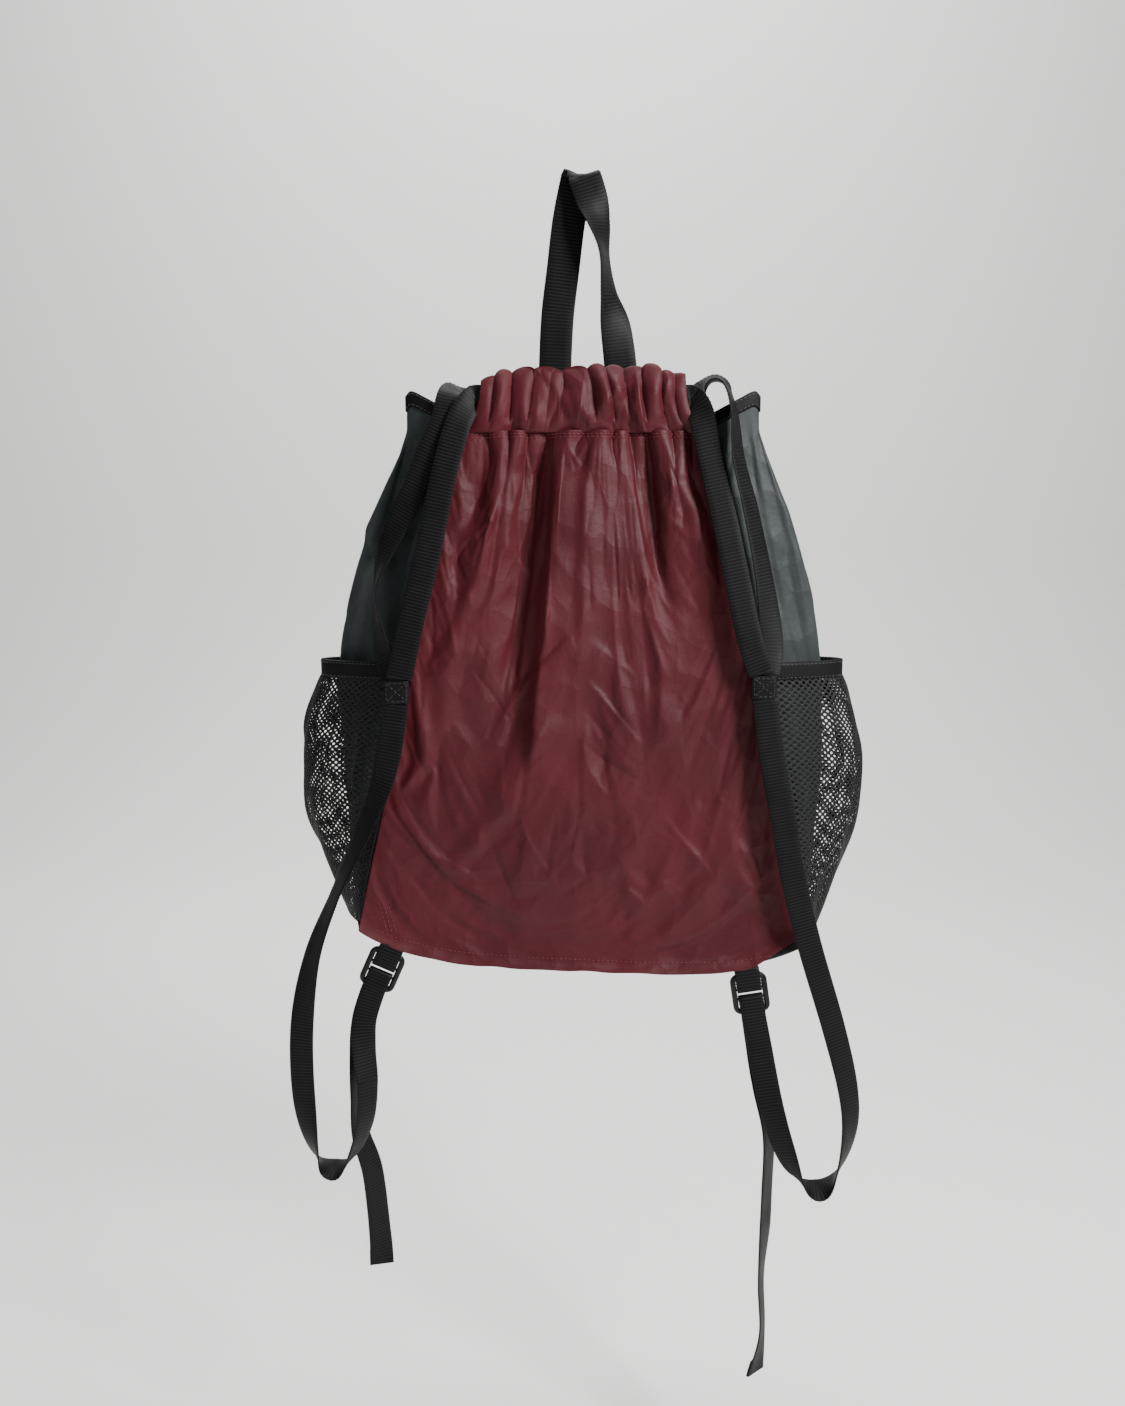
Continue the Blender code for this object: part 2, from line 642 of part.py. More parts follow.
def shoulder_strap(name, side, junction, offset_x, route, frame):
    top = junction + Vector((offset_x, 0, -JUNCTION_TALL / 2 - STRAP_GAP))
    foot = frame @ Vector((0, LOAD_LAYER, -LOCK_TALL / 2 - 0.0018))
    up = frame.to_3x3() @ Vector((-side, 0, 0))
    whole = [(top, (side, 0, 0)), *from_base(route), (foot, up)]
    return ribbon(name, smooth_route(whole, 5), STRAP_WIDE, BLACK_WEBBING)


shoulder_strap("left_shoulder_strap", -1, LEFT_JUNCTION, -0.0008, LEFT_STRAP, left_lock)
shoulder_strap("right_shoulder_strap", 1, RIGHT_JUNCTION, 0.0010, RIGHT_STRAP, right_lock)

# Tails: the straps' free ends, hanging behind the loops, each with a turned-over tip

LEFT_TAIL = [
    ((-0.1790, -0.0425, -0.0453), (1, 0, 0)),
    ((-0.1835, -0.0400, -0.0783), (0.8, 0.6, 0)),
    ((-0.1869, -0.0380, -0.1133), (0.45, 0.9, 0)),
    ((-0.1862, -0.0370, -0.1483), (0.5, 0.85, 0)),
    ((-0.1763, -0.0380, -0.1843), (0.7, 0.7, 0)),
    ((-0.1710, -0.0400, -0.2383), (0.8, 0.6, 0)),
    ((-0.1699, -0.0410, -0.2663), (1, 0.2, 0)),
]
RIGHT_TAIL = [
    ((0.1455, -0.0425, -0.0713), (1, 0, 0)),
    ((0.1505, -0.0400, -0.1043), (0.9, 0.4, 0)),
    ((0.1575, -0.0380, -0.1483), (0.65, 0.75, 0)),
    ((0.1572, -0.0370, -0.2013), (0.6, 0.8, 0)),
    ((0.1565, -0.0370, -0.2383), (0.6, 0.8, 0)),
    ((0.1544, -0.0370, -0.2843), (0.4, 0.9, 0)),
    ((0.1564, -0.0370, -0.3303), (0.4, 0.9, 0)),
    ((0.1515, -0.0380, -0.3713), (0.8, 0.6, 0)),
]
TIP_STEPS = 2            # how many steps of the tail the turned-over tip covers


def tail(name, route, frame):
    """A tail from just under its hinge line, and its tip as a second layer behind it."""
    start = frame @ Vector((0, FRONT_LAYER, TAIL_TOP - 0.0012))
    across = frame.to_3x3() @ Vector((1, 0, 0))
    whole = smooth_route([(start, across), *from_base(route)], 4)
    ribbon(f"{name}_strap_tail", whole, STRAP_WIDE, BLACK_WEBBING)
    tip = []
    for i in range(len(whole) - 1 - TIP_STEPS, len(whole)):
        point, width = whole[i]
        along = whole[i][0] - whole[i - 1][0]
        behind = width.cross(along).normalized()
        if behind.y < 0:
            behind.negate()
        tip.append((point + behind * (WEBBING + GAP), width))
    ribbon(f"{name}_tail_tip", tip, STRAP_WIDE * 0.96, BLACK_WEBBING)


tail("left", LEFT_TAIL, left_lock)
tail("right", RIGHT_TAIL, right_lock)
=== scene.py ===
from math import copysign, cos, exp, floor, modf, pi, radians, sin

import bpy
import bmesh
from mathutils import Matrix, Vector, noise
from mathutils.bvhtree import BVHTree


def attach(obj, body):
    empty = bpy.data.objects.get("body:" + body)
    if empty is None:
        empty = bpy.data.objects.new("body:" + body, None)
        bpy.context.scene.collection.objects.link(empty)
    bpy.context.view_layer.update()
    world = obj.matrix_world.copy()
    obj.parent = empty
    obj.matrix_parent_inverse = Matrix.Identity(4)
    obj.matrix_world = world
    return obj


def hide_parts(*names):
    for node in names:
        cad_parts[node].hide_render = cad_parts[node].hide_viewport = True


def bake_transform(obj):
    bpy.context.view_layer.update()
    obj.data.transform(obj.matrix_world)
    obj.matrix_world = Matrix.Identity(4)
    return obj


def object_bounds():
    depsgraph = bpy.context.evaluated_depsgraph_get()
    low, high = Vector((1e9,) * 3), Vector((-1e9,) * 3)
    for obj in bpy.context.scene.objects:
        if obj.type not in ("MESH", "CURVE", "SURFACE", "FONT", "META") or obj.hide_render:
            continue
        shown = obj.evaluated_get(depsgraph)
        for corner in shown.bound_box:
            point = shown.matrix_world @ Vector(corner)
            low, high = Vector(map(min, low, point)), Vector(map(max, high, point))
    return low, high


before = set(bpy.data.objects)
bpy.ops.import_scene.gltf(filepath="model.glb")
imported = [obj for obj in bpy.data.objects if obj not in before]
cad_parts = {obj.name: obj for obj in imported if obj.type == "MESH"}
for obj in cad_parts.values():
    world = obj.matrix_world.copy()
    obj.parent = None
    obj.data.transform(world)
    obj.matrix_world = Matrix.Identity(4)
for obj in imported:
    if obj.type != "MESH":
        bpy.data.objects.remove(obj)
cad_low, cad_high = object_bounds()


# Studio. A plain pale floor and wall, four soft lamps and a camera in front of the
# bag, a little below the hook's height and tipped down towards the bag's middle.

def in_room(name, data):
    """Puts a mesh, a lamp or a camera into the scene."""
    obj = bpy.data.objects.new(name, data)
    bpy.context.scene.collection.objects.link(obj)
    return obj


def plain_paint(name, colour, roughness):
    paint = bpy.data.materials.new(name)
    paint.use_nodes = True
    shader = paint.node_tree.nodes["Principled BSDF"]
    shader.inputs["Base Color"].default_value = (*colour, 1)
    shader.inputs["Roughness"].default_value = roughness
    return paint


def studio_sweep():
    """A floor that curves up into a wall behind the bag."""
    floor_z, wall_y, bend = cad_low.z - 0.12, 2.7, 0.9
    profile = [(-3.5, floor_z), (wall_y - bend, floor_z)]
    for i in range(1, 13):
        a = pi / 2 * i / 12
        profile.append((wall_y - bend + bend * sin(a), floor_z + bend * (1 - cos(a))))
    profile.append((wall_y, 3.6))
    mesh = bpy.data.meshes.new("studio_sweep")
    points = [(x, y, z) for y, z in profile for x in (-5.0, 5.0)]
    faces = [(2 * i, 2 * i + 1, 2 * i + 3, 2 * i + 2) for i in range(len(profile) - 1)]
    mesh.from_pydata(points, [], faces)
    mesh.shade_smooth()
    mesh.materials.append(plain_paint("pale_paint", (0.86, 0.855, 0.84), 0.9))
    in_room("studio_sweep", mesh)


studio_sweep()


def soft_lamp(name, place, aim, wide, watts):
    lamp = bpy.data.lights.new(name, "AREA")
    lamp.size = wide
    lamp.energy = watts
    stand = in_room(name, lamp)
    stand.location = place
    stand.rotation_euler = (Vector(aim) - Vector(place)).to_track_quat("-Z", "Y").to_euler()


bag_middle = (0.0, 0.0, -0.42)
soft_lamp("key_lamp", (1.05, -0.95, 0.35), bag_middle, 0.42, 44)
soft_lamp("fill_lamp", (-1.4, -1.7, 0.1), bag_middle, 1.6, 4)
soft_lamp("wall_lamp", (0.0, 0.7, 2.6), (0.0, 2.6, -0.7), 2.2, 150)
soft_lamp("back_lamp", (-0.9, 1.5, 0.9), bag_middle, 0.9, 16)
room = bpy.data.worlds.new("room")
room.use_nodes = True
air = room.node_tree.nodes["Background"].inputs
air["Color"].default_value = (0.86, 0.88, 0.9, 1)
air["Strength"].default_value = 0.26
bpy.context.scene.world = room

eye = bpy.data.cameras.new("camera")
eye.sensor_width = 36
eye.lens = 26.6
eye.dof.use_dof = False
camera = in_room("camera", eye)
camera.location = (-0.016, -0.855, -0.298)
camera.rotation_euler = (radians(90 - 7.69), 0, 0)
bpy.context.scene.camera = camera


# Front panel. Burgundy satin nylon, cut straight and gathered to half its width at the
# mouth, so that it falls in a few long folds from the channel and crumples below.

MOUTH_Y = -0.01825
CHANNEL_TOP = -0.1485
CHANNEL_TALL = 0.048
CHANNEL_DEEP = 0.013
CHANNEL_HALF = 0.0785
MOUTH_OPEN = 0.0105
PANEL_TOP = CHANNEL_TOP - CHANNEL_TALL
BASE_LOW = CHANNEL_TOP - 0.4752
BASE_BOW = 0.026
BASE_TILT = 0.0083
CORNER_Z = BASE_LOW + BASE_BOW
NECK_HALF = 0.092
BASE_HALF = 0.183
BODY_Y = 0.012
BAG_DEEP = 0.098
CLOTH = 0.0006
FRONT_CHANNEL_Y = MOUTH_Y - (MOUTH_OPEN + CHANNEL_DEEP) / 2
BACK_CHANNEL_Y = MOUTH_Y + (MOUTH_OPEN + CHANNEL_DEEP) / 2


def down(z):
    """Share of the way from the panels' top to the base's corners."""
    return max(0.0, min(1.0, (PANEL_TOP - z) / (PANEL_TOP - CORNER_Z)))


def panel_half(z):
    return NECK_HALF + (BASE_HALF - NECK_HALF) * down(z)


def panel_y(z, facing):
    neck = FRONT_CHANNEL_Y if facing < 0 else BACK_CHANNEL_Y
    base = BODY_Y + facing * BAG_DEEP / 2
    return neck + (base - neck) * sin(pi / 2 * min(1.0, 1.15 * down(z)))


def base_z(x):
    share = max(-1.0, min(1.0, x / BASE_HALF))
    return BASE_LOW + BASE_BOW * share**4 - BASE_TILT * share


def along_path(path, z):
    """Values of a path of (z, value, ...) rows at a height, between its rows."""
    if z >= path[0][0]:
        return path[0][1:]
    for upper, lower in zip(path, path[1:]):
        if z >= lower[0]:
            t = (upper[0] - z) / (upper[0] - lower[0])
            t = t * t * (3 - 2 * t)
            return [a + (b - a) * t for a, b in zip(upper[1:], lower[1:])]
    return path[-1][1:]


def fold_at(x, z, folds):
    """Height of the long folds at a point. A fold is rows of (z, x, height), with its
    reach to the left and to the right of its ridge."""
    height = 0.0
    for rows, left, right in folds:
        middle, rise = along_path(rows, z)
        reach = left if x < middle else right
        height += rise * exp(-((x - middle) / reach) ** 2)
    return height


def drift(x, y, z):
    """Smooth unevenness from about -1 to 1."""
    return noise.noise(Vector((x, y, z)))


def chance(i, seed):
    """A fixed fraction from 0 to 1 for a whole number."""
    return modf(abs(sin(i * 12.9898 + seed * 78.233)) * 43758.5453)[0]


def crumples(count, seed, half_wide, top, low, steep):
    """Short straight creases scattered over a cloth: place, way, length, widths, height."""
    found = []
    for i in range(count):
        pick = [chance(i * 7 + k, seed) for k in range(7)]
        z = top + (low - top) * pick[0] ** 0.8
        lean = radians(90 + (pick[2] - 0.5) * steep)
        length = 0.01 + 0.03 * pick[3] ** 1.5
        wide = 0.0022 + 0.0045 * pick[4]
        height = (0.0007 + 0.002 * pick[5]) * (1 if pick[6] > 0.35 else -1) * length / 0.024
        found.append((half_wide(z) * (2 * pick[1] - 1) * 0.94, z, cos(lean), sin(lean),
                      length, wide * 0.7, wide * 2.4, height))
    return found


def crumple_at(x, z, found):
    total = 0.0
    for cx, cz, dx, dz, length, sharp, soft, height in found:
        along = ((x - cx) * dx + (z - cz) * dz) / length
        if -1 < along < 1:
            across = (z - cz) * dx - (x - cx) * dz
            reach = sharp if across < 0 else soft
            if abs(across) < 4 * reach:
                total += height * (1 - along * along) * exp(-abs(across) / reach)
    return total


def cloth_mesh(name, columns, rows, spot):
    """A grid of points: spot(u, v), u across and v up, each from -1 to 1."""
    points = []
    for j in range(rows + 1):
        for i in range(columns + 1):
            points.append(spot(-1 + 2 * i / columns, -1 + 2 * j / rows))
    wide = columns + 1
    faces = [(j * wide + i, j * wide + i + 1, (j + 1) * wide + i + 1, (j + 1) * wide + i)
             for j in range(rows) for i in range(columns)]
    mesh = bpy.data.meshes.new(name)
    mesh.from_pydata(points, [], faces)
    mesh.shade_smooth()
    return in_room(name, mesh)


def settle(obj, columns, rows, slack, frames, cap):
    """Lets the cloth hang: its edges are sewn, and between them it is a little longer
    than the space it has, so it sags and buckles. No point moves more than the cap."""
    wide = columns + 1
    sewn = obj.vertex_groups.new(name="sewn")
    for j in range(rows + 1):
        for i in range(wide):
            if i in (0, columns) or j in (0, rows):
                sewn.add([j * wide + i], 1.0, "REPLACE")
    before = [v.co.copy() for v in obj.data.vertices]
    cloth = obj.modifiers.new("hang", "CLOTH")
    nature = cloth.settings
    nature.vertex_group_mass = "sewn"
    nature.quality = 6
    nature.mass = 0.1
    nature.tension_stiffness = nature.compression_stiffness = 25
    nature.shear_stiffness = 8
    nature.bending_stiffness = 0.35
    nature.air_damping = 4
    nature.shrink_min = -slack
    nature.effector_weights.gravity = 0.35
    cloth.collision_settings.use_collision = False
    for step in range(1, frames + 1):
        bpy.context.scene.frame_set(step)
    graph = bpy.context.evaluated_depsgraph_get()
    hung = [v.co.copy() for v in obj.evaluated_get(graph).data.vertices]
    obj.modifiers.remove(cloth)
    for vertex, old, new in zip(obj.data.vertices, before, hung):
        move = new - old
        if move.length > cap:
            move *= cap / move.length
        vertex.co = old + move
    bpy.context.scene.frame_set(1)


def finish_cloth(obj, look, thick=CLOTH, levels=1):
    shell = obj.modifiers.new("thickness", "SOLIDIFY")
    shell.thickness = thick
    shell.offset = 0
    if levels:
        fine = obj.modifiers.new("fine", "SUBSURF")
        fine.levels = fine.render_levels = levels
    obj.data.materials.append(look)


def stand_for(piece, name, body="bag"):
    """The piece takes one CAD node's place: that node is hidden, and the piece moves with a body
    when one is given.
    """
    if body:
        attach(piece, body)
    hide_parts(name)


def new_look(name):
    look = bpy.data.materials.new(name)
    look.use_nodes = True
    tree = look.node_tree
    place = node(tree, "TexCoord").outputs["Object"]
    return look, tree, tree.nodes["Principled BSDF"], place


def feed(tree, made, inputs):
    """Sets a node's inputs: a socket is linked, and anything else is a plain value."""
    for key, value in inputs.items():
        if isinstance(value, bpy.types.NodeSocket):
            tree.links.new(value, made.inputs[key])
        else:
            made.inputs[key].default_value = value


def node(tree, kind, inputs=(), **settings):
    made = tree.nodes.new("ShaderNode" + kind)
    for key, value in settings.items():
        setattr(made, key, value)
    feed(tree, made, dict(inputs))
    return made


def speckle(tree, place, scale, detail=2.0, rough=0.5):
    return node(tree, "TexNoise", {"Vector": place, "Scale": scale, "Detail": detail,
                                   "Roughness": rough}).outputs["Fac"]


def mixed(tree, a, b, share):
    both = node(tree, "Mix", {"Factor": share}, data_type="FLOAT")
    tree.links.new(a, both.inputs[2])
    tree.links.new(b, both.inputs[3])
    return both.outputs[0]


def relief(tree, height, strength, distance, under=None):
    """A bump, on top of the one under it."""
    given = {"Normal": under} if under else {}
    return node(tree, "Bump", {"Height": height, "Strength": strength,
                               "Distance": distance, **given}).outputs[0]


def ramp(tree, factor, stops):
    """A blend between two stops, each a place from 0 to 1 and a colour."""
    made = node(tree, "ValToRGB", {"Fac": factor})
    for end, (place, colour) in zip(made.color_ramp.elements, stops):
        end.position, end.color = place, (*colour, 1)
    return made.outputs["Color"]


def grey(value):
    return (value, value, value)


def nylon(name, dark, light, sheen, gloss):
    """Plain-woven satin nylon: fine threads both ways, faint cloudy shade, soft gloss."""
    look, tree, shader, place = new_look(name)
    cloud = speckle(tree, place, 9.0, 5.0)
    thread_ways = [node(tree, "Mapping", {"Vector": place, "Scale": scale}).outputs[0]
                   for scale in ((1400, 1400, 90), (90, 90, 1400))]
    warp, weft = [speckle(tree, way, 1.0) for way in thread_ways]
    threads = node(tree, "Math", {0: warp, 1: weft}, operation="ADD").outputs[0]
    half = node(tree, "Math", {0: threads, 1: 0.5}, operation="MULTIPLY").outputs[0]
    crumple = relief(tree, speckle(tree, place, 55.0, 6.0, 0.62), 0.55, 0.0016)
    bent = node(tree, "TexNoise", {"Vector": place, "Scale": 14.0, "Detail": 2.0})
    shifted = node(tree, "VectorMath", {0: bent.outputs["Color"], "Scale": 0.035},
                   operation="SCALE").outputs[0]
    moved = node(tree, "VectorMath", {0: place, 1: shifted}).outputs[0]
    facet = node(tree, "TexVoronoi", {"Vector": moved, "Scale": 34.0})
    faceted = relief(tree, facet.outputs["Distance"], 0.42, 0.006, crumple)
    feed(tree, shader, {
        "Base Color": ramp(tree, mixed(tree, cloud, half, 0.45), [(0.3, dark), (0.72, light)]),
        "Roughness": ramp(tree, cloud, [(0.3, grey(gloss - 0.06)), (0.7, grey(gloss + 0.08))]),
        "Normal": relief(tree, half, 0.3, 0.0002, faceted),
        "Sheen Weight": 0.06, "Sheen Roughness": 0.4, "Sheen Tint": (*sheen, 1),
        "Specular IOR Level": 0.27,
    })
    return look


burgundy_nylon = nylon("burgundy_nylon", (0.043, 0.0026, 0.0054), (0.086, 0.0062, 0.0116),
                       (0.9, 0.25, 0.3), 0.58)

FRONT_FOLDS = [
    # (rows of z, x, height), reach left, reach right
    ([(-0.197, -0.01, 0.003), (-0.25, -0.021, 0.01), (-0.327, -0.029, 0.011),
      (-0.422, -0.038, 0.008), (-0.52, -0.047, 0.002)], 0.006, 0.038),
    ([(-0.197, -0.03, -0.003), (-0.235, -0.038, -0.014), (-0.3, -0.046, -0.015),
      (-0.406, -0.057, -0.009), (-0.48, -0.068, 0.000)], 0.02, 0.01),
    ([(-0.197, -0.05, 0.002), (-0.235, -0.061, 0.007), (-0.281, -0.076, 0.009),
      (-0.343, -0.097, 0.008), (-0.406, -0.111, 0.006), (-0.5, -0.134, 0.001)],
     0.016, 0.011),
    ([(-0.197, -0.07, -0.003), (-0.24, -0.081, -0.008), (-0.3, -0.098, -0.006),
      (-0.37, -0.12, 0.000)], 0.012, 0.012),
    ([(-0.2, 0.01, 0.002), (-0.25, 0.003, 0.004), (-0.33, 0.001, 0.003),
      (-0.42, -0.006, 0.000)], 0.006, 0.014),
    ([(-0.197, 0.046, -0.004), (-0.235, 0.052, -0.013), (-0.275, 0.058, -0.012),
      (-0.33, 0.065, -0.004), (-0.39, 0.07, 0.000)], 0.014, 0.01),
    ([(-0.197, 0.058, 0.003), (-0.232, 0.073, 0.008), (-0.265, 0.088, 0.008),
      (-0.311, 0.1, 0.004), (-0.37, 0.108, 0.000)], 0.01, 0.012),
    ([(-0.29, 0.052, 0.000), (-0.33, 0.057, 0.004), (-0.4, 0.064, 0.004),
      (-0.48, 0.072, 0.000)], 0.007, 0.016),
    ([(-0.33, -0.13, 0.000), (-0.4, -0.131, 0.005), (-0.452, -0.126, 0.005),
      (-0.487, -0.15, 0.005), (-0.54, -0.163, 0.000)], 0.009, 0.007),
    ([(-0.4, 0.000, 0.000), (-0.48, -0.06, 0.005), (-0.56, -0.11, 0.004),
      (-0.6, -0.12, 0.000)], 0.022, 0.01),
    ([(-0.43, 0.02, 0.000), (-0.5, 0.03, 0.004), (-0.59, 0.042, 0.003)],
     0.008, 0.026),
    ([(-0.47, 0.11, 0.000), (-0.53, 0.12, 0.004), (-0.59, 0.15, 0.001)],
     0.02, 0.007),
]


def pleat(x, z, seed):
    """Ruffles of a gathered edge, 0 in a crease and about 1 on a crown. Each has its own
    width, lean and fullness."""
    at = x * 68 + 1.2 * drift(x * 19, 0.2, seed)
    at += 0.6 * drift(x * 26, z * 26, seed + 2)
    full = 0.62 + 0.75 * drift(floor(at) * 1.73, z * 9, seed + 5)
    return max(0.1, full) * abs(sin(pi * at)) ** 0.6


def gathers(x, z, half, deep, fade, seed):
    """The ruffles that run on from a gathered seam and die out below it."""
    below = max(0.0, PANEL_TOP - z)
    return deep * (pleat(x * CHANNEL_HALF / half, z, seed) - 0.4) * exp(-below / fade)


HEM_OUT, HEM_DROP = 0.007, 0.0052    # how far the bottom seam's edge stands out and hangs
SEAM_LAP = 0.0009                     # the front panel's edge laps the gussets' edges


def panel_grid(u, v, lap=0.0):
    """Where a panel's point lies, x and z, and how free it is of the seams, 0 to 1."""
    low = base_z(u * BASE_HALF)
    z = low + (PANEL_TOP - low) * (v + 1) / 2
    return u * (panel_half(z) + lap), z, min(1.0, (1 - abs(u)) * 9) * min(1.0, (v + 1) * 7)


def panel_folds(x, z, folds, creases, deep, seed):
    height = fold_at(x, z, folds) + gathers(x, z, panel_half(z), deep, 0.042, seed)
    return height + crumple_at(x, z, creases)


FRONT_CRUMPLES = crumples(150, 3.0, panel_half, PANEL_TOP - 0.04, CORNER_Z + 0.01, 120)


def front_spot(u, v):
    x, z, hem = panel_grid(u, v, SEAM_LAP)
    height = panel_folds(x, z, FRONT_FOLDS, FRONT_CRUMPLES, 0.0085, 41.0)
    height += 0.0034 * drift(x * 11, z * 7, 2.0)
    height += 0.002 * (0.5 + 0.5 * cos(pi * u)) * sin(pi * down(z))
    near = max(0.0, 1 - (v + 1) / 0.11)
    height = height * hem + HEM_OUT * near**1.5
    curl = max(0.0, (u - 0.72) / 0.28)
    drop = HEM_DROP * near - 0.015 * near * sin(pi / 2 * curl) ** 1.5
    ripple = 0.0012 * drift(x * 45, 0.5, 3.0) * near
    return Vector((x, panel_y(z, -1) - height - 0.002 * curl * near, z - drop + ripple))


front_panel = cloth_mesh("front_panel_cloth", 170, 200, front_spot)
settle(front_panel, 170, 200, 0.006, 14, 0.0035)
finish_cloth(front_panel, burgundy_nylon)
stand_for(front_panel, "front_panel")


# Back panel. The same cut in dark slate nylon, gathered the same way, and smoother
# because the wearer's back keeps it flat.

slate_nylon = nylon("slate_nylon", (0.015, 0.0195, 0.0195), (0.034, 0.042, 0.0415),
                    (0.6, 0.75, 0.75), 0.55)

BACK_FOLDS = [
    ([(-0.197, -0.03, 0.003), (-0.26, -0.045, 0.006), (-0.38, -0.075, 0.004),
      (-0.54, -0.105, 0.000)], 0.014, 0.02),
    ([(-0.197, 0.012, 0.002), (-0.28, 0.014, 0.006), (-0.4, 0.024, 0.005),
      (-0.56, 0.03, 0.000)], 0.022, 0.012),
    ([(-0.197, 0.05, 0.002), (-0.26, 0.067, 0.005), (-0.36, 0.093, 0.004),
      (-0.48, 0.12, 0.000)], 0.012, 0.016),
]


BACK_CRUMPLES = crumples(90, 5.0, panel_half, PANEL_TOP - 0.05, CORNER_Z + 0.01, 130)


def back_spot(u, v):
    x, z, hem = panel_grid(u, v)
    height = panel_folds(x, z, BACK_FOLDS, BACK_CRUMPLES, 0.0075, 47.0)
    height += 0.003 * drift(x * 9, z * 6, 12.0)
    return Vector((x, panel_y(z, 1) + height * hem, z))


back_panel = cloth_mesh("back_panel_cloth", 90, 100, back_spot)
settle(back_panel, 90, 100, 0.006, 14, 0.004)
finish_cloth(back_panel, slate_nylon)
stand_for(back_panel, "back_panel")


# Gussets. Dark slate nylon between the two panels, folded outwards into a deep V whose
# crease stands out beside the bag, loose and softly crumpled.

STAND_TOP, STAND_BASE, STAND_SWELL = 0.045, 0.012, 0.035
GUSSET_RISE, GUSSET_FLARE = 0.0035, 0.0245
GUSSET_TAPE_TALL = 0.012


def gusset_stand(z):
    t = down(z)
    swell = sin(pi * t**0.8)
    return STAND_TOP + (STAND_BASE - STAND_TOP) * t + STAND_SWELL * swell


def gusset_top(u):
    blunt = 0.0065 * exp(-((u / 0.16) ** 2))
    return PANEL_TOP + GUSSET_RISE + GUSSET_FLARE * (1 - abs(u) ** 1.6) - blunt


def gusset_point(side, u, z):
    """u runs from the front seam (-1) over the crease (0) to the back seam (1)."""
    x = side * (panel_half(z) + 0.0007 + gusset_stand(z) * (1 - abs(u) ** 1.6))
    front, back = panel_y(z, -1), panel_y(z, 1)
    return Vector((x, front + (back - front) * (u + 1) / 2, z))


def gusset(name, side):
    seed = 20.0 + 7 * side
    found = crumples(60, seed, lambda z: 0.085, PANEL_TOP - 0.01, CORNER_Z + 0.02, 150)

    def spot(u, v):
        foot = gusset_point(side, u, CORNER_Z)
        low, high = base_z(foot.x) + 0.001, gusset_top(u) - GUSSET_TAPE_TALL * 0.3
        z = low + (high - low) * (v + 1) / 2
        point = gusset_point(side, u, z)
        t = down(z)
        hem = min(1.0, (1 - abs(u)) * 6) * min(1.0, (v + 1) * 6) * min(1.0, (1 - v) * 8)
        soft = 0.0045 * drift(u * 2.6, z * 7, seed)
        soft += 0.003 * sin(u * 9 + z * 14 + seed) * sin(pi * t)
        soft += 1.7 * crumple_at(u * 0.085, z, found)
        point.x += side * soft * hem * 0.5
        point.y += (-1 if u < 0 else 1) * soft * hem * (0.4 + 0.6 * abs(u))
        return point

    cloth = cloth_mesh(f"{name}_cloth", 70, 120, spot)
    settle(cloth, 70, 120, 0.008, 12, 0.0035)
    finish_cloth(cloth, slate_nylon)
    stand_for(cloth, name)


gusset("left_gusset", -1)
gusset("right_gusset", 1)


# Bottom panel. Plain black nylon sewn between the four walls' lower edges. It sags a
# little, and at the right corner it shows under the front panel's turned-up edge.

black_nylon = nylon("black_nylon", (0.006, 0.006, 0.007), (0.014, 0.014, 0.015),
                    (0.5, 0.5, 0.5), 0.5)


def bottom_spot(u, v):
    across = -1 + 2 * max(0.0, (v + 0.6) / 1.6)
    end = gusset_point(1, across, CORNER_Z)
    x = u * (end.x - 0.0015)
    sag = 0.006 * (1 - across * across) * (1 - u * u)
    sag += 0.0016 * drift(u * 4, across * 2, 31.0) * (1 - across**2)
    turned = max(0.0, min(1.0, (-v - 0.6) / 0.4))
    out = HEM_OUT * max(0.0, -across) ** 6 * 0.6 * (1 - turned) - 0.0022 * turned
    z = base_z(x) - 0.0006 - sag - HEM_DROP * 0.75 * max(0.0, -across) ** 6
    lip = 0.004 + 0.014 * max(0.0, min(1.0, (u - 0.62) / 0.2))
    return Vector((x, end.y - out, z + lip * turned))


bottom = cloth_mesh("bottom_panel_cloth", 70, 22, bottom_spot)
finish_cloth(bottom, black_nylon)
stand_for(bottom, "bottom_panel")


# Drawstring channels. The panels' top hems, folded over and stitched into tunnels and
# then gathered on their webbing into tight, uneven ruffles.

def faces_out(mesh, weld=0.0):
    """Turns every face outwards, once points closer than the weld are joined."""
    work = bmesh.new()
    work.from_mesh(mesh)
    if weld:
        bmesh.ops.remove_doubles(work, verts=work.verts, dist=weld)
    bmesh.ops.recalc_face_normals(work, faces=work.faces)
    work.to_mesh(mesh)
    work.free()


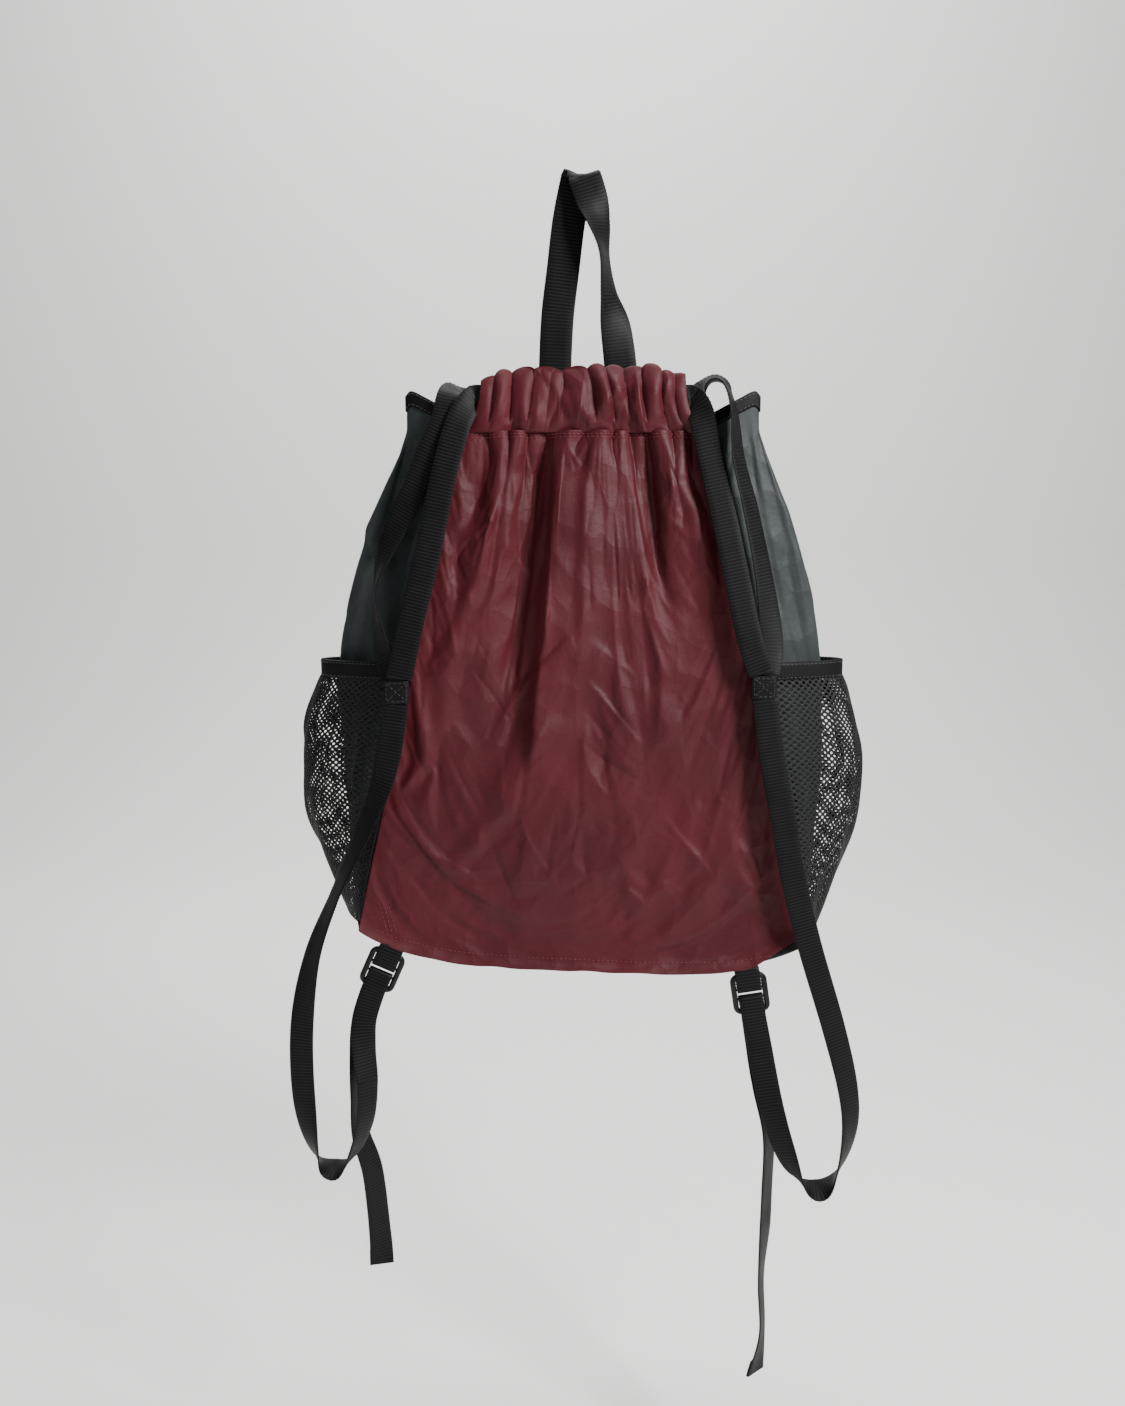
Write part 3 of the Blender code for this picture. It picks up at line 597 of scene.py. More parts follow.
def channel(name, middle_y, facing, look, seed):
    top, low = CHANNEL_TOP, PANEL_TOP - 0.0015
    found = crumples(55, seed, lambda z: CHANNEL_HALF, top - 0.003, PANEL_TOP + 0.004, 90)

    def spot(u, v):
        angle = pi * u
        x = v * CHANNEL_HALF
        up, side = cos(angle), sin(angle)
        crown = pleat(x, PANEL_TOP if up < -0.6 else (top + low) / 2 + up * 0.02, seed)
        drop = 0.0095 * max(0.0, (-v - 0.5) / 0.5) ** 1.6 + 0.003 * max(0.0, (v - 0.6) / 0.4)
        crest = top - drop + 0.0042 * (crown - 0.6)
        crest += 0.0035 * drift(x * 34, 5.0, seed)
        z = low + (crest - low) * (0.5 + 0.5 * copysign(abs(up) ** 0.75, up))
        rise = (z - low) / (top - low)
        full = 0.22 + 0.85 * sin(pi * min(1.0, 0.08 + 0.84 * rise)) ** 0.8
        deep = CHANNEL_DEEP / 2 * copysign(abs(side) ** 0.8, side)
        x = v * (CHANNEL_HALF + 0.0125 * (1 - rise) ** 3)
        y = middle_y + deep * full * (0.26 + 0.92 * crown)
        y += 0.0014 * sin(x * 150 + seed)
        y += 0.0022 * drift(x * 60, z * 60, seed) * full
        y += facing * 0.8 * crumple_at(x, z, found) * full * (1 if side * facing > 0 else -1)
        return Vector((x, y, z))

    cloth = cloth_mesh(f"{name}_cloth", 48, 240, spot)
    faces_out(cloth.data, weld=1e-5)
    finish_cloth(cloth, look, levels=0)
    stand_for(cloth, name)


channel("front_channel", FRONT_CHANNEL_Y, -1, burgundy_nylon, 41.0)
channel("back_channel", BACK_CHANNEL_Y, 1, slate_nylon, 47.0)


# Drawstrings and strands. Ribbed black webbing, 20 mm wide. It runs through the channels,
# leaves them on edge at both ends, and hangs twisted down to the strap junctions.

WEBBING = 0.0013
STRAP_WIDE = 0.02
RIB = 0.0026             # pitch of the webbing's cross ribs
CHANNEL_Z = CHANNEL_TOP - CHANNEL_TALL / 2
END_CLEAR = 0.0015
JUNCTION_TALL = 0.018
GAP = 0.0004
LEFT_JUNCTION = Vector((-0.146, -0.0475, -0.3985))
RIGHT_JUNCTION = Vector((0.1415, -0.0485, -0.3945))


def curve_through(points, share):
    """The point at a share 0 to 1 of a smooth curve through points, all vectors."""
    spans = len(points) - 1
    at = min(int(share * spans), spans - 1)
    t = share * spans - at
    p0, p1, p2, p3 = [points[max(0, min(spans, at + k))] for k in (-1, 0, 1, 2)]
    return 0.5 * (2 * p1 + (p2 - p0) * t + (2 * p0 - 5 * p1 + 4 * p2 - p3) * t * t
                  + (3 * p1 - p0 - 3 * p2 + p3) * t * t * t)


def reaches(line):
    """How far along a line each of its points is."""
    reach = [0.0]
    for a, b in zip(line, line[1:]):
        reach.append(reach[-1] + (b - a).length)
    return reach


def point_at(line, reach, goal):
    """The point that lies a given way along a line."""
    k = 0
    while k < len(line) - 2 and reach[k + 1] < goal:
        k += 1
    t = min(1.0, (goal - reach[k]) / max(1e-9, reach[k + 1] - reach[k]))
    return line[k].lerp(line[k + 1], t)


def smooth_route(route):
    """Points and width directions every half rib along a curve through a route."""
    points = [Vector(point) for point, _ in route]
    widths = [Vector(width).normalized() for _, width in route]
    fine = (len(route) - 1) * 40
    line = [curve_through(points, i / fine) for i in range(fine + 1)]
    across = [curve_through(widths, i / fine) for i in range(fine + 1)]
    reach = reaches(line)
    count = max(2, round(reach[-1] / (RIB / 2)))
    goals = [reach[-1] * i / count for i in range(count + 1)]
    return [(point_at(line, reach, goal), point_at(across, reach, goal)) for goal in goals]


# One half of a band's cross-section, as shares of its half width and half thickness. The
# other half is the same turned round.
HALF_SECTION = [(-1.0, 0.0), (-0.985, 0.6), (-0.93, 1.0), (-0.5, 1.0), (0.0, 1.0), (0.5, 1.0),
                (0.93, 1.0), (0.985, 0.6)]
BAND_SECTION = HALF_SECTION + [(-w, -n) for w, n in HALF_SECTION]


def band(name, route, wide, look, thick=WEBBING, rib=0.26, square=True):
    """A closed band of webbing or tape, with a raised rib at every second row."""
    size = len(BAND_SECTION)
    points, faces = [], []
    for i, (point, across) in enumerate(route):
        before, after = route[max(i - 1, 0)][0], route[min(i + 1, len(route) - 1)][0]
        along = (after - before).normalized()
        flat = across.normalized()
        if square and 0 < i < len(route) - 1:
            flat = (flat - along * flat.dot(along)).normalized()
        face = flat.cross(along).normalized()
        raised = 1 + (rib if i % 2 else -rib)
        edge = 0.0002 * (1 if i % 2 else -1)
        for w, n in BAND_SECTION:
            points.append(point + flat * w * (wide / 2 + edge) + face * n * thick / 2 * raised)
    rows = len(route)
    for i in range(rows - 1):
        for k in range(size):
            k2 = (k + 1) % size
            faces.append((i * size + k, i * size + k2, (i + 1) * size + k2, (i + 1) * size + k))
    faces.append(tuple(range(size))[::-1])
    faces.append(tuple((rows - 1) * size + k for k in range(size)))
    mesh = bpy.data.meshes.new(name)
    mesh.from_pydata(points, [], faces)
    # Marks the raised rows. The webbing's colour paints them lighter, as a painted highlight on
    # the rib crests.
    raised = mesh.attributes.new("raised", "FLOAT", "POINT")
    raised.data.foreach_set("value", [float(i // size % 2) for i in range(len(points))])
    faces_out(mesh)
    mesh.shade_smooth()
    mesh.set_sharp_from_angle(angle=radians(70))
    mesh.materials.append(look)
    return in_room(name, mesh)


def hanging_cord(exit, line):
    path = [point for point, _ in line]
    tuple(exit)
    round(reaches(path)[-1], 3)


def ribbed_webbing(name, dark, light, rough):
    look, tree, shader, place = new_look(name)
    dust = speckle(tree, place, 38.0, 7.0, 0.6)
    yarn = speckle(tree, place, 1500.0)
    # Colour: painted highlight on the raised rib crests and painted shade in the grooves between
    # them, varied by the dust and yarn noise.
    rib = node(tree, "Attribute", attribute_name="raised").outputs["Fac"]
    crest = node(tree, "Math", {0: rib, 1: 2.0}, operation="POWER").outputs[0]
    painted_rib_highlight = node(tree, "Math", {0: crest, 1: mixed(tree, dust, yarn, 0.5)},
               operation="MULTIPLY").outputs[0]
    feed(tree, shader, {
        "Base Color": ramp(tree, painted_rib_highlight, [(0.05, dark), (0.6, light)]),
        "Roughness": ramp(tree, dust, [(0.3, grey(rough - 0.08)), (0.7, grey(rough + 0.08))]),
        "Normal": relief(tree, yarn, 0.5, 0.0003),
        "Specular IOR Level": 0.16,
    })
    return look


# Near black in the grooves as painted shade, and lighter on the rib crests as painted highlight.
black_webbing = ribbed_webbing("black_webbing", (0.0005, 0.0005, 0.0006),
                               (0.015, 0.015, 0.0155), 0.55)


def webbing(name, line, wide=STRAP_WIDE, **more):
    return band(f"{name}_webbing", line, wide, black_webbing, **more)


def drawstring(name, middle_y):
    inside = [((x * (CHANNEL_HALF - 0.001), middle_y, CHANNEL_Z), (0, 0, 1))
              for x in (-1.0, -0.5, 0.0, 0.5, 1.0)]
    stand_for(webbing(name, smooth_route(inside)), name)


drawstring("front_drawstring", FRONT_CHANNEL_Y)
drawstring("back_drawstring", BACK_CHANNEL_Y)


def strand(name, side, middle_y, route, junction, last_offset):
    start = (side * (CHANNEL_HALF + END_CLEAR), middle_y, CHANNEL_Z)
    clear = (side * (CHANNEL_HALF + END_CLEAR + 0.004), middle_y, CHANNEL_Z)
    end = junction + Vector(last_offset)
    end.z = junction.z + JUNCTION_TALL / 2 + GAP * 3
    line = smooth_route([(start, (0, 0, 1)), (clear, (0, 0, 1)), *route, (end, (side, 0, 0))])
    piece = webbing(name, line)
    stand_for(piece, name)
    hanging_cord(start, line)


LEFT_FRONT_STRAND = [
    ((-0.0905, -0.0345, -0.181), (-0.6, 0, 0.8)), ((-0.098, -0.04, -0.199), (-1, 0, 0.25)),
    ((-0.108, -0.044, -0.236), (-1, 0, 0)), ((-0.121, -0.0465, -0.296), (-1, 0, 0)),
    ((-0.133, -0.0485, -0.342), (-1, 0, 0)),
]
LEFT_BACK_STRAND = [
    ((-0.091, -0.009, -0.169), (-0.35, 0, 0.94)), ((-0.0985, -0.018, -0.1635), (-0.8, 0.25, 0.55)),
    ((-0.103, -0.029, -0.17), (-1, 0.1, 0.3)), ((-0.108, -0.035, -0.191), (-1, 0, 0.1)),
    ((-0.119, -0.036, -0.215), (-1, 0, 0)), ((-0.131, -0.035, -0.242), (-1, 0, 0)),
    ((-0.153, -0.032, -0.284), (-0.8, 0.5, 0)), ((-0.163, -0.035, -0.319), (-0.25, 1, 0)),
    ((-0.16, -0.0385, -0.359), (-0.7, 0.7, 0)),
]
RIGHT_FRONT_STRAND = [
    ((0.0895, -0.0345, -0.182), (0.6, 0, 0.8)), ((0.0945, -0.04, -0.203), (1, 0, 0.25)),
    ((0.1054, -0.044, -0.251), (1, 0, 0)), ((0.119, -0.0475, -0.311), (1, 0, 0)),
    ((0.1293, -0.0505, -0.357), (1, 0, 0)),
]
RIGHT_BACK_STRAND = [
    ((0.092, -0.0095, -0.164), (0, 0.45, 0.9)), ((0.101, -0.02, -0.158), (0.1, 0.9, 0.35)),
    ((0.1095, -0.0335, -0.164), (0.25, 0.95, 0.1)), ((0.115, -0.0415, -0.185), (0.4, 0.9, 0)),
    ((0.119, -0.042, -0.219), (0.6, 0.8, 0)), ((0.129, -0.042, -0.257), (0.7, 0.7, 0)),
    ((0.1412, -0.0415, -0.312), (0.8, 0.6, 0)), ((0.1476, -0.042, -0.36), (0.97, 0.2, 0)),
]
strand("left_front_strand", -1, FRONT_CHANNEL_Y, LEFT_FRONT_STRAND, LEFT_JUNCTION,
       (0.0025, -0.0018, 0))
strand("left_back_strand", -1, BACK_CHANNEL_Y, LEFT_BACK_STRAND, LEFT_JUNCTION,
       (-0.0015, 0.0022, 0))
strand("right_front_strand", 1, FRONT_CHANNEL_Y, RIGHT_FRONT_STRAND, RIGHT_JUNCTION,
       (-0.0025, -0.0018, 0))
strand("right_back_strand", 1, BACK_CHANNEL_Y, RIGHT_BACK_STRAND, RIGHT_JUNCTION,
       (0.0025, 0.0022, 0))


# Gusset bindings. Black grosgrain tape folded over each gusset's cut top edge and
# stitched through. It dips from the outer crease to both seams.

# As on the webbing: painted shade in the grooves and painted highlight on the rib crests.
black_grosgrain = ribbed_webbing("black_grosgrain", (0.0008, 0.0008, 0.0009),
                                 (0.009, 0.009, 0.0095), 0.62)


def binding(name, spot, steps, tall, thick):
    """A tape along spot(u), its width upright."""
    line = [(spot(-1 + 2 * i / steps), Vector((0, 0, 1))) for i in range(steps + 1)]
    stand_for(band(f"{name}_tape", line, tall, black_grosgrain, thick=thick, rib=0.06,
                   square=False), name)


for side, way in (("left", -1), ("right", 1)):
    binding(f"{side}_gusset_binding", lambda u: gusset_point(way, u, gusset_top(u)), 130,
            GUSSET_TAPE_TALL, 0.0026)


# Side pockets. Black knitted mesh with open diamond holes, cut full so that it stands
# out beside the gusset. Its top is gathered a little into the binding.

POCKET_TOP = -0.3765
POCKET_TAPE_TALL = 0.0145
POCKET_SLACK, POCKET_SWELL = 0.012, 0.018
MESH_STRIP = 0.00055     # half the width of the knit between two holes


def pocket_point(side, u, z, share):
    slack = POCKET_SLACK + POCKET_SWELL * sin(pi * share**0.8)
    slack = slack * (1 - share**6) + 0.0024
    front, back = panel_y(z, -1) - 0.0036, panel_y(z, 1) + 0.0036
    x = side * (panel_half(z) + 0.0016 + (gusset_stand(z) + slack) * (1 - u * u))
    return Vector((x, front + (back - front) * (u + 1) / 2, z))


def knitted_mesh(name, side):
    columns, rows = 38, 41
    seed = 60.0 + 5 * side

    def spot(u, v):
        share = (1 - v) / 2
        foot = pocket_point(side, u, CORNER_Z, 1.0)
        low, high = base_z(foot.x) + 0.0015, POCKET_TOP - POCKET_TAPE_TALL * 0.8
        point = pocket_point(side, u, high + (low - high) * share, share)
        hem = min(1.0, (1 - abs(u)) * 5) * min(1.0, (v + 1) * 5) * min(1.0, (1 - v) * 6)
        wave = 0.0012 * sin(u * 11 + 4 * drift(u * 2, v * 2, seed))
        wave += 0.003 * drift(u * 2, v * 2, seed)
        point.x += side * wave * hem
        return point

    net = bmesh.new()
    grid = {}
    places = [(i, j) for j in range(2 * rows + 1) for i in range(2 * columns + 1)]
    for i, j in places:
        if (i + j) % 2 == 0:
            grid[i, j] = net.verts.new(spot(-1 + i / columns, -1 + j / rows))
    for i, j in places:
        if (i + j) % 2 == 1:
            ring = [grid.get(key) for key in ((i - 1, j), (i, j - 1), (i + 1, j), (i, j + 1))]
            ring = [vertex for vertex in ring if vertex]
            if len(ring) > 2:
                net.faces.new(ring)
    bmesh.ops.recalc_face_normals(net, faces=net.faces)
    holes = list(net.faces)
    bmesh.ops.inset_individual(net, faces=holes, thickness=MESH_STRIP, use_even_offset=True)
    bmesh.ops.delete(net, geom=holes, context="FACES_ONLY")
    mesh = bpy.data.meshes.new(f"{name}_knit")
    net.to_mesh(mesh)
    net.free()
    mesh.shade_smooth()
    piece = in_room(f"{name}_knit", mesh)
    finish_cloth(piece, black_knit, 0.0006)
    stand_for(piece, name)


def knit_yarn(name):
    look, tree, shader, place = new_look(name)
    fuzz = speckle(tree, place, 700.0, 3.0)
    feed(tree, shader, {
        "Base Color": ramp(tree, fuzz, [(0.3, grey(0.0016)), (0.7, grey(0.006))]),
        "Roughness": 0.6, "Specular IOR Level": 0.3, "Normal": relief(tree, fuzz, 0.4, 0.0003),
    })
    return look


black_knit = knit_yarn("black_knit")
knitted_mesh("left_pocket_mesh", -1)
knitted_mesh("right_pocket_mesh", 1)


POCKET_TAPE_Z = POCKET_TOP - POCKET_TAPE_TALL / 2
for side, way in (("left", -1), ("right", 1)):
    binding(f"{side}_pocket_binding", lambda u: pocket_point(way, u, POCKET_TAPE_Z, 0.0), 190,
            POCKET_TAPE_TALL, 0.0027)


# Carry handle. One length of 26 mm webbing, both ends sewn flat behind the back channel.
# It goes over the hook with half a twist, so that its right leg turns edge-on.

HANDLE_WIDE = 0.026
HANDLE_Y = 0.003
HINGE_Z = CHANNEL_TOP + 0.003
HOOK_R = 0.0032
HOOK_TURN = HOOK_R + WEBBING / 2
ANCHOR_LONG = 0.025
LEFT_ANCHOR_X, RIGHT_ANCHOR_X = -0.022, 0.0305


def over_hook(angle, x):
    a = radians(angle)
    return (x, HOOK_TURN * cos(a), HOOK_TURN * sin(a) - HOOK_R)


flat = (1, 0, 0)
foot_z = HINGE_Z - ANCHOR_LONG
HANDLE_ROUTE = [
    *[((LEFT_ANCHOR_X, HANDLE_Y, z), flat) for z in (foot_z, foot_z + 0.012, HINGE_Z)],
    ((-0.02, 0.0032, -0.105), flat), ((-0.0155, 0.0038, -0.068), flat),
    ((-0.011, 0.0044, -0.032), flat),
    *[(over_hook(angle, x), flat) for angle, x in (
        (0, -0.005), (45, -0.0035), (90, -0.0015), (135, 0.0), (180, 0.0015))],
    ((0.0065, -0.005, -0.018), (1, 0.15, 0)), ((0.0125, -0.0055, -0.038), (0.7, 0.7, 0)),
    ((0.0168, -0.005, -0.06), (0.35, 0.94, 0)), ((0.0205, -0.003, -0.088), (0.55, 0.83, 0)),
    ((0.0265, 0.001, -0.115), (0.95, 0.3, 0)),
    *[((RIGHT_ANCHOR_X, HANDLE_Y, z), flat) for z in (HINGE_Z, foot_z + 0.012, foot_z)],
]
handle = webbing("handle", smooth_route(HANDLE_ROUTE), HANDLE_WIDE)
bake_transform(handle)
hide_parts("carry_handle", "left_handle_anchor", "right_handle_anchor")


# Strap junctions. Both strands of a side are laid on the shoulder strap's top end, and
# all three layers are sewn together with a boxed cross of black thread.

def sewn_overlap(name, middle):
    line = []
    for i in range(21):
        z = middle.z + JUNCTION_TALL / 2 - JUNCTION_TALL * i / 20
        line.append((Vector((middle.x, middle.y, z)), Vector((1, 0, 0))))
    stand_for(webbing(name, line, thick=0.0038, rib=0.05), name)


sewn_overlap("left_strap_junction", LEFT_JUNCTION)
sewn_overlap("right_strap_junction", RIGHT_JUNCTION)


# Ladder locks. Black moulded frames with four bars. Each hangs on a short webbing tab
# whose ends are sewn into the bag's bottom seam.

LOCK_TALL = 0.034
LOCK_THICK = 0.005
RAIL = 0.004
LOCK_WIDE = STRAP_WIDE + 0.0015 + 2 * RAIL
BAR_THICK = 0.0022
BAR_OFF = 0.004
LOOP_R = BAR_THICK * 0.7072 + 0.0003 + WEBBING / 2
FRONT_LAYER = -LOOP_R
LOAD_LAYER = FRONT_LAYER - WEBBING - 0.0003
TAIL_TOP = -LOCK_TALL / 2 - 0.001
TAB_LONG = 0.022


def lock_frame(tab_x, lean):
    turn = Matrix.Rotation(radians(lean), 4, "Y")
    top = Vector((tab_x, -0.0415, base_z(tab_x) - 0.004))
    return Matrix.Translation(top + turn @ Vector((0, 0, -TAB_LONG))) @ turn


def moulded_plastic(name):
    look, tree, shader, place = new_look(name)
    grain = speckle(tree, place, 900.0)
    wear = speckle(tree, place, 120.0, 5.0)
    feed(tree, shader, {
        "Base Color": ramp(tree, wear, [(0.3, grey(0.003)), (0.7, grey(0.007))]),
        "Roughness": ramp(tree, wear, [(0.35, grey(0.24)), (0.7, grey(0.38))]),
        "Normal": relief(tree, grain, 0.15, 0.0002), "Specular IOR Level": 0.25,
    })
    return look


black_plastic = moulded_plastic("black_plastic")
left_lock = lock_frame(-0.1545, 24.0)
right_lock = lock_frame(0.1344, -9.0)


def rounded_loop(half_x, half_z, corner, steps):
    """Points (x, z) round a rectangle with rounded corners, and each one's outward way."""
    found = []
    for quarter, (cx, cz) in enumerate(((1, 1), (-1, 1), (-1, -1), (1, -1))):
        for i in range(steps + 1):
            a = pi / 2 * (quarter + i / steps)
            out = Vector((cos(a), sin(a)))
            middle = Vector((cx * (half_x - corner), cz * (half_z - corner)))
            found.append((middle + out * corner, out))
    return found


def bridge(shape, rings, closed=False):
    """Faces from each ring of points to the next, and over both ends if it isn't closed."""
    for a, b in zip(rings, rings[1:] + rings[:1] if closed else rings[1:]):
        for k in range(len(a)):
            nxt = (k + 1) % len(a)
            shape.faces.new((a[k], a[nxt], b[nxt], b[k]))
    if not closed:
        shape.faces.new(rings[0][::-1])
        shape.faces.new(rings[-1])


def moulded_lock(name, body, lock_at):
    """The frame's outer ring with rounded rails, and two round bars across its middle."""
    shape = bmesh.new()
    loop = rounded_loop(LOCK_WIDE / 2 - RAIL / 2, LOCK_TALL / 2 - RAIL / 2, 0.0045, 7)
    size, rings = 16, []
    for (x, z), out in loop:
        bulge = 0.0007 * cos(pi * z / LOCK_TALL) * copysign(1, x)
        ring = []
        for k in range(size):
            a = 2 * pi * k / size
            r = copysign(abs(cos(a)) ** 0.7, cos(a)) * RAIL / 2
            d = copysign(abs(sin(a)) ** 0.7, sin(a)) * LOCK_THICK / 2
            r -= 0.0003 if r < 0 else 0.0
            swell = bulge if r > 0 else 0.0
            spot = Vector((x + swell + out.x * r, d, z + out.y * r))
            ring.append(shape.verts.new(lock_at @ spot))
        rings.append(ring)
    bridge(shape, rings, closed=True)
    for z in (BAR_OFF, -BAR_OFF):
        ends = []
        for x in (-LOCK_WIDE / 2 + RAIL / 2, LOCK_WIDE / 2 - RAIL / 2):
            turns = [pi * k / 8 for k in range(size)]
            ends.append([shape.verts.new(lock_at @ Vector((
                x, BAR_THICK / 2 * cos(a), z + BAR_THICK / 2 * sin(a)))) for a in turns])
        bridge(shape, ends)
    bmesh.ops.recalc_face_normals(shape, faces=shape.faces)
    mesh = bpy.data.meshes.new(f"{name}_moulding")
    shape.to_mesh(mesh)
    shape.free()
    mesh.shade_smooth()
    mesh.set_sharp_from_angle(angle=radians(60))
    mesh.materials.append(black_plastic)
    stand_for(in_room(f"{name}_moulding", mesh), name, body)


moulded_lock("left_ladder_lock", "left_lock", left_lock)
moulded_lock("right_ladder_lock", "right_lock", right_lock)


def in_lock(lock_at, own_route):
    """A route of (y, z) points in a lock's own frame, as stations in the row frame."""
    across = (lock_at.to_3x3() @ Vector((1, 0, 0))).normalized()
    return [(lock_at @ Vector((0, y, z)), across) for y, z in own_route]


def turn_round(bar_z, first, last, steps):
    found = []
    for i in range(steps + 1):
        a = radians(first + (last - first) * i / steps)
        found.append((LOOP_R * cos(a), bar_z + LOOP_R * sin(a)))
    return found


def lock_tab(side, lock_at):
    layer, lie = WEBBING / 2 + 0.0003, LOCK_TALL / 2 + 0.001
    own = [(-layer, TAB_LONG), (-LOOP_R, lie), (-LOOP_R, BAR_OFF + 0.004)]
    own += turn_round(BAR_OFF, 180, 360, 6)
    own += [(LOOP_R, BAR_OFF + 0.004), (LOOP_R, lie), (layer, TAB_LONG)]
    piece = webbing(f"{side}_tab", smooth_route(in_lock(lock_at, own)))
    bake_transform(piece)
    stand_for(piece, f"{side}_lock_tab", None)


lock_tab("left", left_lock)
lock_tab("right", right_lock)


# Shoulder straps. One length of 20 mm webbing a side, from the junction down in a free
# loop, up into the lock, over its lower middle bar, and out again as the tail.

LEFT_STRAP = [
    ((-0.1535, -0.05, -0.45), (-1, 0.1, 0)), ((-0.1625, -0.053, -0.482), (-0.85, 0.5, 0)),
    ((-0.1875, -0.054, -0.538), (-0.6, 0.8, 0)), ((-0.1985, -0.054, -0.563), (-0.5, 0.85, 0)),
    ((-0.2175, -0.053, -0.612), (-0.75, 0.65, 0)), ((-0.2275, -0.054, -0.67), (-1, 0.2, 0)),
    ((-0.2275, -0.056, -0.731), (-1, 0.2, 0)), ((-0.219, -0.06, -0.777), (-0.6, 0.8, 0.1)),
    ((-0.203, -0.063, -0.7905), (0, 0.9, 0.4)), ((-0.1885, -0.0635, -0.78), (0.4, 0.9, 0.1)),
    ((-0.1775, -0.06, -0.752), (0.6, 0.8, 0)), ((-0.1755, -0.054, -0.722), (0.7, 0.7, 0)),
    ((-0.1785, -0.049, -0.695), (0.85, 0.5, 0)), ((-0.1785, -0.0462, -0.67), (1, 0.1, -0.2)),
]
RIGHT_STRAP = [
    ((0.1491, -0.05, -0.45), (1, 0, 0)), ((0.159, -0.052, -0.5), (1, 0, 0)),
    ((0.1676, -0.0535, -0.5464), (1, 0, 0)), ((0.1828, -0.0545, -0.604), (1, 0.1, 0)),
    ((0.2035, -0.056, -0.671), (1, 0.2, 0)), ((0.2165, -0.058, -0.7225), (0.9, 0.4, 0)),
    ((0.2185, -0.061, -0.757), (0.8, 0.6, 0)), ((0.21, -0.064, -0.79), (0.5, 0.85, 0.1)),
    ((0.1945, -0.0655, -0.807), (0, 0.9, 0.4)), ((0.177, -0.064, -0.798), (-0.5, 0.85, 0.2)),
    ((0.164, -0.06, -0.77), (-0.9, 0.5, 0)), ((0.154, -0.0555, -0.735), (-1, 0.2, 0)),
    ((0.1455, -0.048, -0.69), (-1, 0, 0)),
]
LEAD_IN = 0.075          # the strap's last stretch, into the lock, made as a piece of its own


def shoulder_strap(name, side, junction, offset_x, route, lock_at):
    top = junction + Vector((offset_x, 0, -JUNCTION_TALL / 2 - 0.0006))
    foot = lock_at @ Vector((0, LOAD_LAYER, -LOCK_TALL / 2 - 0.0018))
    up = lock_at.to_3x3() @ Vector((-side, 0, 0))
    line = smooth_route([(top, (side, 0, 0)), *route, (foot, up)])
    steps = round(LEAD_IN / (RIB / 2))
    steps -= (len(line) - steps) % 2
    loop, lead = line[:-steps], line[-steps - 1:]
    piece = webbing(f"{name}_strap", loop)
    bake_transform(piece)
    stand_for(piece, f"{name}_shoulder_strap", None)
    over = [(LOAD_LAYER, -0.0135), (LOAD_LAYER + 0.0004, -0.0105), (-LOOP_R - 0.0004, -0.0065)]
    over += turn_round(-BAR_OFF, 180, 80, 5)
    bent = smooth_route(in_lock(lock_at, [(LOAD_LAYER, -LOCK_TALL / 2 - 0.0018), *over]))
    bent = [(p, w * -side) for p, w in bent]
    lead_piece = band(f"{name}_strap_lead", [*lead, *bent[1:]], STRAP_WIDE, black_webbing)
    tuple(lead[0][0])
    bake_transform(lead_piece)
    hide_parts(f"{name}_strap_fold")
    hanging_cord(top, loop)


shoulder_strap("left", -1, LEFT_JUNCTION, -0.0008, LEFT_STRAP, left_lock)
shoulder_strap("right", 1, RIGHT_JUNCTION, 0.001, RIGHT_STRAP, right_lock)


# Strap tails. The straps' free ends, down from the locks behind the loops. Each ends in
# a tip that is turned over behind and stitched, so that it can't slip out of its lock.

LEFT_TAIL = [
    ((-0.179, -0.0425, -0.669), (1, 0, 0)), ((-0.1835, -0.04, -0.702), (0.8, 0.6, 0)),
    ((-0.1869, -0.038, -0.737), (0.45, 0.9, 0)), ((-0.1862, -0.037, -0.772), (0.5, 0.85, 0)),
    ((-0.1763, -0.038, -0.808), (0.7, 0.7, 0)), ((-0.171, -0.04, -0.862), (0.8, 0.6, 0)),
    ((-0.1699, -0.041, -0.89), (1, 0.2, 0)),
]
RIGHT_TAIL = [
    ((0.1455, -0.0425, -0.695), (1, 0, 0)), ((0.1505, -0.04, -0.728), (0.9, 0.4, 0)),
    ((0.1575, -0.038, -0.772), (0.65, 0.75, 0)), ((0.1572, -0.037, -0.825), (0.6, 0.8, 0)),
    ((0.1565, -0.037, -0.862), (0.6, 0.8, 0)), ((0.1544, -0.037, -0.908), (0.4, 0.9, 0)),
    ((0.1564, -0.037, -0.954), (0.4, 0.9, 0)), ((0.1515, -0.038, -0.995), (0.8, 0.6, 0)),
]
TIP_TALL = 0.014


def tail(name, route, lock_at):
    start = lock_at @ Vector((0, FRONT_LAYER, TAIL_TOP - 0.0012))
    across = lock_at.to_3x3() @ Vector((1, 0, 0))
    hanging = smooth_route([(start, across), *route])
    inside = turn_round(-BAR_OFF, 78, -20, 5)
    inside += [(0.0012, -0.0078), (-0.001, -0.0098), (-LOOP_R, -0.0122)]
    inside += [(FRONT_LAYER, TAIL_TOP - 0.0012)]
    line = smooth_route(in_lock(lock_at, inside))[:-1] + hanging
    piece = webbing(f"{name}_tail", line)
    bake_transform(piece)
    stand_for(piece, f"{name}_strap_tail", None)
    steps = round(TIP_TALL / (RIB / 2))
    folded = []
    for i in range(len(line) - 1 - steps, len(line)):
        point, width = line[i]
        along = (point - line[i - 1][0]).normalized()
        behind = width.cross(along).normalized()
        if behind.y < 0:
            behind.negate()
        folded.append((point + behind * (WEBBING + 0.0001), width))
    tip = webbing(f"{name}_tail_tip", folded, STRAP_WIDE * 0.97)
    stand_for(tip, f"{name}_tail_tip", f"{name}_tail")
    hanging_cord(line[0][0], line)


